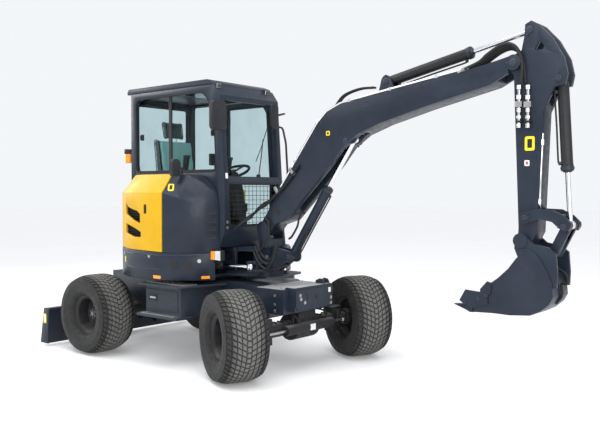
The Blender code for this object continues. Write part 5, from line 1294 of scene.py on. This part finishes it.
shape = bmesh.new()
for y in (-0.14, 0.02):
    add_bar(shape, upper(0.45, y, 1.25), upper(0.50, y, 1.44), 0.009, 12)
    add_block(shape, upper(0.44, y - 0.045, 1.17), upper(0.56, y + 0.045, 1.185))
    add_block(shape, upper(0.485, y - 0.012, 1.42), upper(0.512, y + 0.012, 1.50))
settle("travel_pedals", shape, BLACK_PAINT_AND_PAINTED_SHADE, "house", 0.003)
at, away = touch("door", upper(0.585, 2, 1.62), (0, -1, 0))
handle = bmesh.new()
add_sweep(handle, rounded_loop([at + Vector((-0.05, 0.012, -0.05)), at + Vector((0.05, 0.012, -0.05)),
    at + Vector((0.05, 0.012, 0.05)), at + Vector((-0.05, 0.012, 0.05))], 0.02)[:-1], 0.007, 8)
add_block(handle, at + Vector((-0.055, -0.001, -0.055)), at + Vector((0.055, 0.007, 0.055)))
settle("door_handle", handle, PLASTIC, "door", bevel=0.003)
shape = bmesh.new()
for z in (1.38, 1.86, 2.34):
    add_bar(shape, upper(-0.100, CAB_LEFT_Y + 0.006, z - 0.035),
        upper(-0.100, CAB_LEFT_Y + 0.006, z + 0.035), 0.011, 16)
    add_block(shape, upper(-0.090, CAB_LEFT_Y + 0.001, z - 0.022),
        upper(-0.045, CAB_LEFT_Y + 0.006, z + 0.022))
settle("door_hinges", shape, BLACK_PAINT_AND_PAINTED_SHADE, "door", 0.001)
shape = bmesh.new()
for y in (-0.05, 0.05):
    add_bar(shape, upper(-0.485, SEAT_Y + y, SEAT_Z + 0.66), upper(-0.490, SEAT_Y + y, SEAT_Z + 0.76),
        0.007, 12)
settle("head_rest_posts", shape, STEEL, "house")
SHEET = coat("seat_sheet", (0.30, 0.56, 0.52), 0.55, dust=0.0, grain=30.0, depth=0.004)
shape = bmesh.new()
grid = []
for row in range(19):
    t = row / 18
    x, z = -0.372 - 0.068 * t, 0.215 + 0.47 * t
    line = []
    for column in range(15):
        y = -0.205 + 0.41 * column / 14
        wave = 0.004 * math.sin(row * 1.1 + column * 0.7) + 0.003 * math.sin(column * 1.9)
        line.append(shape.verts.new(upper(x + wave + 0.004, SEAT_Y + y, SEAT_Z + z)))
    grid.append(line)
for row in range(18):
    for column in range(14):
        shape.faces.new((grid[row][column], grid[row][column + 1], grid[row + 1][column + 1],
            grid[row + 1][column]))
sheet = settle("seat_cover_sheet", shape, SHEET, "house")
thicken = sheet.modifiers.new("thickness", "SOLIDIFY")
thicken.thickness = 0.0016
print("cab interior furnished")

# %% [markdown]
# ## The working arm
#
# The arm is carried by steel pins. A pin must not turn or slide out of its boss, so a small keeper
# plate is bolted beside its head. The heads are chamfered and a shade lighter than the painted arm.

# %% Pin heads and keepers
BOOM_ROD_END = (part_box("boom_rod")[1] - Vector((0.058, 0, 0.058)))
ARM_ROD_END = (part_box("arm_rod")[1] - Vector((0.046, 0, 0.046)))
LINK_TOP = Vector((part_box("link")[1].x - 0.045, 0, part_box("link")[1].z - 0.045))
PINS = [("boom_foot", "boom", PIN["boom_lift"], 0.032, "boom", 60),
    ("boom_cylinder_foot", "swing_post", PIN["boom_cylinder_pivot"], 0.026, "swing", 200),
        ("boom_cylinder_head", "boom", BOOM_ROD_END, 0.026, "boom", 240),
        ("arm_cylinder_foot", "boom", PIN["arm_cylinder_pivot"], 0.026, "boom", 90),
        ("arm_foot", "boom", PIN["arm_crowd"], 0.030, "boom", 180),
        ("arm_cylinder_head", "arm", ARM_ROD_END, 0.026, "arm", 250),
        ("bucket_cylinder_foot", "arm", PIN["bucket_cylinder_pivot"], 0.024, "arm", 90),
        ("bucket_foot", "arm", PIN["bucket_curl"], 0.026, "arm", 120),
        ("lever_foot", "lever", PIN["lever_rock"], 0.022, "lever", 0),
        ("link_foot", "link", PIN["link_swing"], 0.022, "link", 200),
        ("link_head", "lever", LINK_TOP, 0.022, "lever", 180)]
for name, node, at, radius, body, flag in PINS:
    for side in (-1, 1):
        start = Vector((at.x, BOOM_Y + side * 1.0, at.z))
        point, _ = touch(node, start, (0, -side, 0))
        if abs(point.y - BOOM_Y) > 0.9 or (point.y - BOOM_Y) * side < 0.02:
            continue
        shape = bmesh.new()
        out = Vector((0, side, 0))
        add_bar(shape, point - out * 0.004, point + out * 0.004, radius, 28)
        add_bar(shape, point + out * 0.003, point + out * 0.007, radius, 28, radius * 0.80)
        reach = Vector((math.cos(math.radians(flag)), 0, math.sin(math.radians(flag))))
        across = Vector((-reach.z, 0, reach.x)) * radius * 0.36
        corners = [point + reach * radius * a + across * b for a,
            b in ((0.5, 1), (1.8, 1), (1.8, -1), (0.5, -1))]
        add_prism(shape, [corner - out * 0.002 for corner in corners], out * 0.007)
        add_bolt(shape, point + reach * radius * 1.4 + out * 0.004, out, radius * 0.24, 0.007)
        settle("pin_%s_%s" % (name, "rl"[side > 0]), shape, GRAPHITE_SHEET_AND_PAINTED_HIGHLIGHT, body,
            0.0006)
print("pins set")

# %% [markdown]
# A hydraulic cylinder has more than a tube and a rod. The gland that seals the rod is screwed into
# the open end, a pipe runs along the tube to feed that end, and two short stubs stand for the ports.
# The axis is taken from the pivot to the middle of the rod, so these parts follow the tube exactly.

# %% Glands, feed pipes and ports
def cylinder_fittings(name, pivot, body, side, collar=0.0035):
    """Collar, pipe and ports of a cylinder; side points from its axis to the pipe."""
    tube, rod = NODES[name + "_barrel"].data, NODES[name + "_rod"].data
    middle = sum((v.co for v in rod.vertices), Vector()) / len(rod.vertices)
    foot = PIN[pivot].copy()
    if abs(foot.y - middle.y) < 0.06:
        foot.y = middle.y = sum(v.co.y for v in tube.vertices) / len(tube.vertices)
    axis = (middle - foot).normalized()
    along = [(v.co - foot).dot(axis) for v in tube.vertices]
    end = max(along)
    radius = max((v.co - foot - axis * t).length for v, t in zip(tube.vertices, along) if t > end - 0.004)
    lift = (Vector(side) - axis * Vector(side).dot(axis)).normalized()
    shape = bmesh.new()
    add_bar(shape, foot + axis * (end - 0.034), foot + axis * (end - 0.006), radius + collar, 32)
    add_bar(shape, foot + axis * (end - 0.002), foot + axis * (end + 0.008), radius * 0.80, 32,
        radius * 0.72)
    for index in range(6):
        angle = math.tau * index / 6
        away = lift * math.cos(angle) + axis.cross(lift) * math.sin(angle)
        add_bolt(shape, foot + axis * (end - 0.020) + away * (radius + collar - 0.0015), away, 0.005,
            0.004)
    for t in (end - 0.055, 0.085):
        add_bar(shape, foot + axis * t, foot + axis * t + lift * (radius + 0.016), 0.013, 16)
    settle(name + "_gland", shape, GRAPHITE_SHEET_AND_PAINTED_HIGHLIGHT, body, 0.001)
    shape = bmesh.new()
    away = radius + 0.011
    path = [foot + axis * 0.085 + lift * away, foot + axis * 0.115 + lift * (away + 0.006),
        foot + axis * (end * 0.5) + lift * (away + 0.004),
            foot + axis * (end - 0.085) + lift * (away + 0.006),
            foot + axis * (end - 0.055) + lift * away]
    add_sweep(shape, eased(path, 4), 0.0065, 10)
    settle(name + "_feed_pipe", shape, BLACK_PAINT_AND_PAINTED_SHADE, body)
    return foot, axis, end, radius


for name, pivot, body, side in (("boom", "boom_cylinder_pivot", "boom_barrel", (1, 0, -0.5)),
    ("arm", "arm_cylinder_pivot", "arm_barrel", (0, 0, -1)),
                                ("bucket", "bucket_cylinder_pivot", "bucket_barrel", (-1, -0.5, 0)),
                                ("blade", "blade_cylinder_pivot", "blade_barrel", (1, 0, 0.3))):
    print(name, "cylinder, tube end at", round(cylinder_fittings(name, pivot, body, side)[2], 3))

# %% [markdown]
# Hoses leave the cab floor beside the swing post, climb over the boom's foot and join steel pipes on
# its back. Near the pins they are bent only a little, so each run belongs to the body it is clamped
# to, and the runs meet inside a clamp.

# %% Hose runs of the boom
def side_path(points, y):
    return [upper(x, y, z) for x, z in points]


for index in range(4):
    y = -0.215 + index * 0.018
    lift = index * 0.016
    hose("foot_hose_%d" % index, [upper(0.630, -0.36 + index * 0.022, 1.135),
        upper(0.655, -0.35 + index * 0.020, 1.210 + lift),
                                  upper(0.720, -0.30 + index * 0.020, 1.300 + lift),
                                  upper(0.790, y, 1.372 + lift)], 0.0095, "house")
    hose("bend_hose_%d" % index, side_path([(0.786, 1.366 + lift), (0.820, 1.400 + lift),
        (0.850, 1.424 + lift)], y), 0.0095, "swing")
    hose("rise_hose_%d" % index, side_path([(0.846, 1.420 + lift), (0.905, 1.458 + lift),
        (0.973, 1.486 + lift), (1.071, 1.559 + lift), (1.167, 1.632 + lift), (1.262, 1.720 + lift),
        (1.36, 1.835 + lift)], y), 0.0095, "boom")
for index in range(2):
    y = -0.168 + index * 0.03
    hose("top_hose_%d" % index, side_path([(1.212, 1.700), (1.325, 1.818), (1.443, 1.945),
        (1.555, 2.078), (1.664, 2.256), (1.740, 2.345), (1.823, 2.422), (1.977, 2.462), (2.126, 2.462)],
        y),
         0.0085, "boom")
hose("boom_loop_high", side_path([(1.384, 1.422), (1.350, 1.435), (1.316, 1.369), (1.299, 1.306),
    (1.236, 1.215), (1.20, 1.19)], -0.150), 0.0095, "boom_barrel")
hose("boom_loop_low", side_path([(1.407, 1.266), (1.384, 1.195), (1.339, 1.114), (1.328, 1.051),
    (1.269, 1.004), (1.200, 0.991)], -0.150), 0.0095, "boom_barrel")
hose("post_loop", [upper(0.93, -0.25, 1.05), upper(0.99, -0.27, 1.12), upper(1.03, -0.24, 1.24),
    upper(1.00, -0.205, 1.33), upper(0.95, -0.2, 1.38)], 0.0095, "swing")
for index in range(3):
    y = -0.240 - index * 0.016
    path = [upper(0.88, y, 1.16 - index * 0.05), upper(0.96, y - 0.02, 1.05 - index * 0.04),
        upper(1.05, y - 0.015, 1.00 - index * 0.04),
            upper(1.11, y, 1.06 - index * 0.03), upper(1.13, y + 0.02, 1.12), upper(1.12, y + 0.03, 1.16)]
    hose("post_bundle_%d" % index, path, 0.0095, "swing")
hose("post_loop_low", [upper(0.92, -0.21, 0.93), upper(1.00, -0.235, 0.905), upper(1.10, -0.215, 0.91),
    upper(1.19, -0.165, 0.955)], 0.0095, "swing")
shape = bmesh.new()
for x, z, angle in ((1.115, 1.600, 38), (1.30, 1.772, 50)):
    along = Vector((math.cos(math.radians(angle)), 0, math.sin(math.radians(angle))))
    up = Vector((-along.z, 0, along.x))
    base = upper(x, -0.162, z)
    ring = [base + up * a + along * b for a, b in ((-0.012, -0.014), (0.070, -0.014), (0.070, 0.014),
        (-0.012, 0.014))]
    add_prism(shape, [corner + Vector((0, -0.044, 0)) for corner in ring], (0, 0.010, 0))
    add_bolt(shape, base + up * 0.058 + Vector((0, -0.044, 0)), (0, -1, 0), 0.007, 0.006)
settle("hose_clamps", shape, STEEL, "boom", 0.0015)
print("boom hoses laid")

# %% [markdown]
# The swing post turns on a stout upright pin, closed with a bolted cap above and below.

# %% Swing pin caps and the post's fittings
swing_axis = PIN["boom_swing"]
for name, z, up in (("upper", 1.0955, 1), ("lower", 0.8195, -1)):
    shape = bmesh.new()
    at = Vector((swing_axis.x, swing_axis.y, z))
    add_bar(shape, at, at + Vector((0, 0, 0.012 * up)), 0.056, 32)
    add_bar(shape, at + Vector((0, 0, 0.012 * up)), at + Vector((0, 0, 0.017 * up)), 0.056, 32, 0.050)
    for index in range(4):
        angle = math.tau * (index + 0.5) / 4
        add_bolt(shape, at + Vector((0.038 * math.cos(angle), 0.038 * math.sin(angle), 0.015 * up)),
            (0, 0, up), 0.008, 0.008)
    settle("swing_cap_" + name, shape, GRAPHITE_SHEET_AND_PAINTED_HIGHLIGHT, "house", 0.001)
for side in (-1, 1):
    spots = [upper(x, BOOM_Y + side * 0.1055, z) for x,
        z in ((0.925, 1.13), (0.925, 0.90), (0.975, 1.02))]
    bolts("post_bolts_%s" % "rl"[side > 0], spots, (0, side, 0), "swing", 0.010)
print("swing post dressed")

# %% [markdown]
# Plates on the boom and the dipper arm are left blank. The load-holding valve block of the arm is a
# machined body with a raised screw and two ports, fixed to the arm's flank next to its pipes.

# %% Plates, valve blocks, pipes and the boom lamp
plate("boom_plate", "boom", upper(1.095, -2, 1.445), (0, 1, 0), (0.09, 0.045), BLACK_PAINT_AND_PAINTED_SHADE, "boom",
    turn=-42)
plate("boom_mark", "boom", upper(1.677, -2, 2.110), (0, 1, 0), (0.040, 0.040), YELLOW_PLATE, "boom",
    rim=BLACK_PAINT_AND_PAINTED_SHADE)
plate("arm_field", "arm", upper(3.447, -2, 1.953), (0, 1, 0), (0.072, 0.100), YELLOW_PLATE, "arm",
    rim=BLACK_PAINT_AND_PAINTED_SHADE)
plate("arm_mark", "arm", upper(3.428, -2, 1.816), (0, 1, 0), (0.036, 0.040), WHITE_PLATE, "arm",
    rim=RED_PLATE)
for index, (x_low, x_high, z_low, z_high) in enumerate(((3.343, 3.402, 2.070, 2.366),
    (3.410, 3.467, 2.066, 2.360))):
    at, _ = touch("arm", upper((x_low + x_high) / 2, -2, (z_low + z_high) / 2), (0, 1, 0))
    face = at.y
    middle = (x_low + x_high) / 2
    shape = bmesh.new()
    add_bar(shape, upper(middle, face - 0.016, z_low), upper(middle, face - 0.016, z_high), 0.011, 20)
    for z, radius, height in ((z_low + 0.01, 0.017, 0.030), (z_low + 0.07, 0.019, 0.022),
        (z_low + 0.12, 0.016, 0.030),
                              (z_high - 0.085, 0.019, 0.030), (z_high - 0.015, 0.017, 0.030)):
        add_bar(shape, upper(middle, face - 0.016, z - height / 2),
            upper(middle, face - 0.016, z + height / 2), radius, 6)
    add_block(shape, upper(middle - 0.026, face - 0.034, z_high - 0.155),
        upper(middle + 0.026, face + 0.001, z_high - 0.115))
    settle("arm_coupling_%d" % index, shape, STEEL, "arm", 0.001)
    block("arm_clip_%d" % index, upper(middle - 0.022, face - 0.030, z_low + 0.032),
        upper(middle + 0.022, face + 0.001, z_low + 0.046), BLACK_PAINT_AND_PAINTED_SHADE, "arm", 0.002)
shape = bmesh.new()
add_sweep(shape, [upper(3.530, -0.145, 2.02), upper(3.532, -0.152, 1.977), upper(3.520, -0.152, 1.70),
    upper(3.514, -0.150, 1.535), upper(3.510, -0.13, 1.49)], 0.0085, 12)
for z in (1.96, 1.545):
    add_bar(shape, upper(3.531 if z > 1.7 else 3.514, -0.152, z - 0.018),
        upper(3.531 if z > 1.7 else 3.514, -0.152, z + 0.018), 0.013, 6)
settle("arm_feed_pipe", shape, CHROME, "arm")
for index in range(4):
    y = -0.196 + index * 0.022
    drop = index * 0.010
    path = side_path([(2.955, 2.520 - drop * 0.5), (3.069, 2.560 - drop), (3.132, 2.606 - drop),
        (3.225, 2.655 - drop), (3.301, 2.664 - drop), (3.362, 2.618 - drop),
                      (3.398, 2.516), (3.394 + 0.02 * (index % 2), 2.375)], y)
    arch = hose("tip_hose_%d" % index, path, 0.0115, None)
    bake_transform(arch)
shape = bmesh.new()
for index in range(3):
    y = -0.192 + index * 0.022
    at, to = upper(2.925, y, 2.512), upper(2.985, y, 2.530)
    add_bar(shape, at, to, 0.015, 6)
    add_bar(shape, at + (at - to) * 0.5, at, 0.011, 16)
settle("tip_fittings", shape, STEEL, "boom", 0.0008)
hose("bucket_loop", side_path([(3.613, 1.082), (3.684, 1.038), (3.691, 0.976), (3.655, 0.970),
    (3.657, 0.889), (3.615, 0.829)], -0.09), 0.010, "bucket")
work_lamp("boom_lamp", upper(1.996, -0.150, 2.110), (0.9, -0.35, -0.5), "boom", 0.034)
shape = bmesh.new()
for x, z in ((2.99, 0.800), (3.10, 0.835), (3.16, 0.865)):
    for side in (-1, 1):
        at, away = touch("bucket", upper(x, BOOM_Y + side, z), (0, -side, 0))
        if abs(away.y) > 0.8:
            add_bolt(shape, at, away, 0.012, 0.006)
settle("bucket_bolts", shape, GRAPHITE_SHEET_AND_PAINTED_HIGHLIGHT, "bucket")
plate("mirror_face_right", "mirror_right", upper(0.30, -0.575, 2.30), (1, 0, 0), (0.10, 0.20), CHROME,
    "house")
plate("mirror_face_side", "mirror_side", upper(0.0, -0.72, 1.83), (1, 0, 0), (0.11, 0.12), CHROME,
    "house")
plate("mirror_face_left", "mirror_left", upper(0.30, 0.19, 2.34), (1, 0, 0), (0.10, 0.18), CHROME,
    "house")
print("arm dressed")

# %% [markdown]
# ## Studio
#
# A machine this dark needs broad, soft light, or its panels merge. One very large lamp overhead and
# to the right side draws the long highlights on the upper edges, a second fills from the front, and
# a third lifts the rear. The floor is a plain pale plane under an almost white sky.

# %% Floor, light and camera
def studio_floor():
    shape = bmesh.new()
    bmesh.ops.create_grid(shape, x_segments=1, y_segments=1, size=60)
    mesh = bpy.data.meshes.new("studio_floor")
    shape.to_mesh(mesh)
    shape.free()
    floor = bpy.data.objects.new("studio_floor", mesh)
    bpy.context.scene.collection.objects.link(floor)
    made, graph, shader = new_material("studio_floor")
    tone = ramp(graph, noise(graph, 0.6, 3.0), [(0.3, 0.80), (0.7, 0.82)])
    graph.links.new(tone, shader.inputs["Base Color"])
    shader.inputs["Roughness"].default_value = 0.75
    shader.inputs["Emission Color"].default_value = (1, 1, 1, 1)
    shader.inputs["Emission Strength"].default_value = 0.14
    shader.inputs["Emission Color"].default_value = (1, 1, 1, 1)
    shader.inputs["Emission Strength"].default_value = 0.14
    mesh.materials.append(made)


def softbox(name, place, aim, size, power):
    light = bpy.data.lights.new(name, "AREA")
    light.shape = "RECTANGLE"
    light.size, light.size_y = size
    light.energy = power
    lamp = bpy.data.objects.new(name, light)
    bpy.context.scene.collection.objects.link(lamp)
    lamp.location = place
    lamp.rotation_euler = (Vector(aim) - Vector(place)).to_track_quat("-Z", "Y").to_euler()


studio_floor()
softbox("overhead", (0.5, -2.5, 7.0), (0.0, 0.0, 1.0), (8.0, 6.0), 430)
softbox("front_fill", (7.0, -5.5, 3.5), (0.0, 0.0, 1.2), (5.0, 4.0), 270)
softbox("rear_fill", (-8.5, -1.5, 4.0), (0.0, 0.0, 1.2), (5.0, 4.0), 260)
sky = bpy.data.worlds.new("studio_sky")
sky.use_nodes = True
sky.node_tree.nodes["Background"].inputs["Color"].default_value = (0.95, 0.97, 1.0, 1)
sky.node_tree.nodes["Background"].inputs["Strength"].default_value = 0.95
bpy.context.scene.world = sky
bpy.context.scene.view_settings.view_transform = "Standard"

lens = bpy.data.cameras.new("studio_camera")
lens.lens = 45.07
lens.sensor_width = 36.0
camera = bpy.data.objects.new("studio_camera", lens)
bpy.context.scene.collection.objects.link(camera)
camera.location = (4.4935, -5.26, 1.616)
camera.rotation_euler = Vector((-0.641, 0.767, -0.032)).to_track_quat("-Z", "Y").to_euler()
bpy.context.scene.camera = camera
print("studio ready")
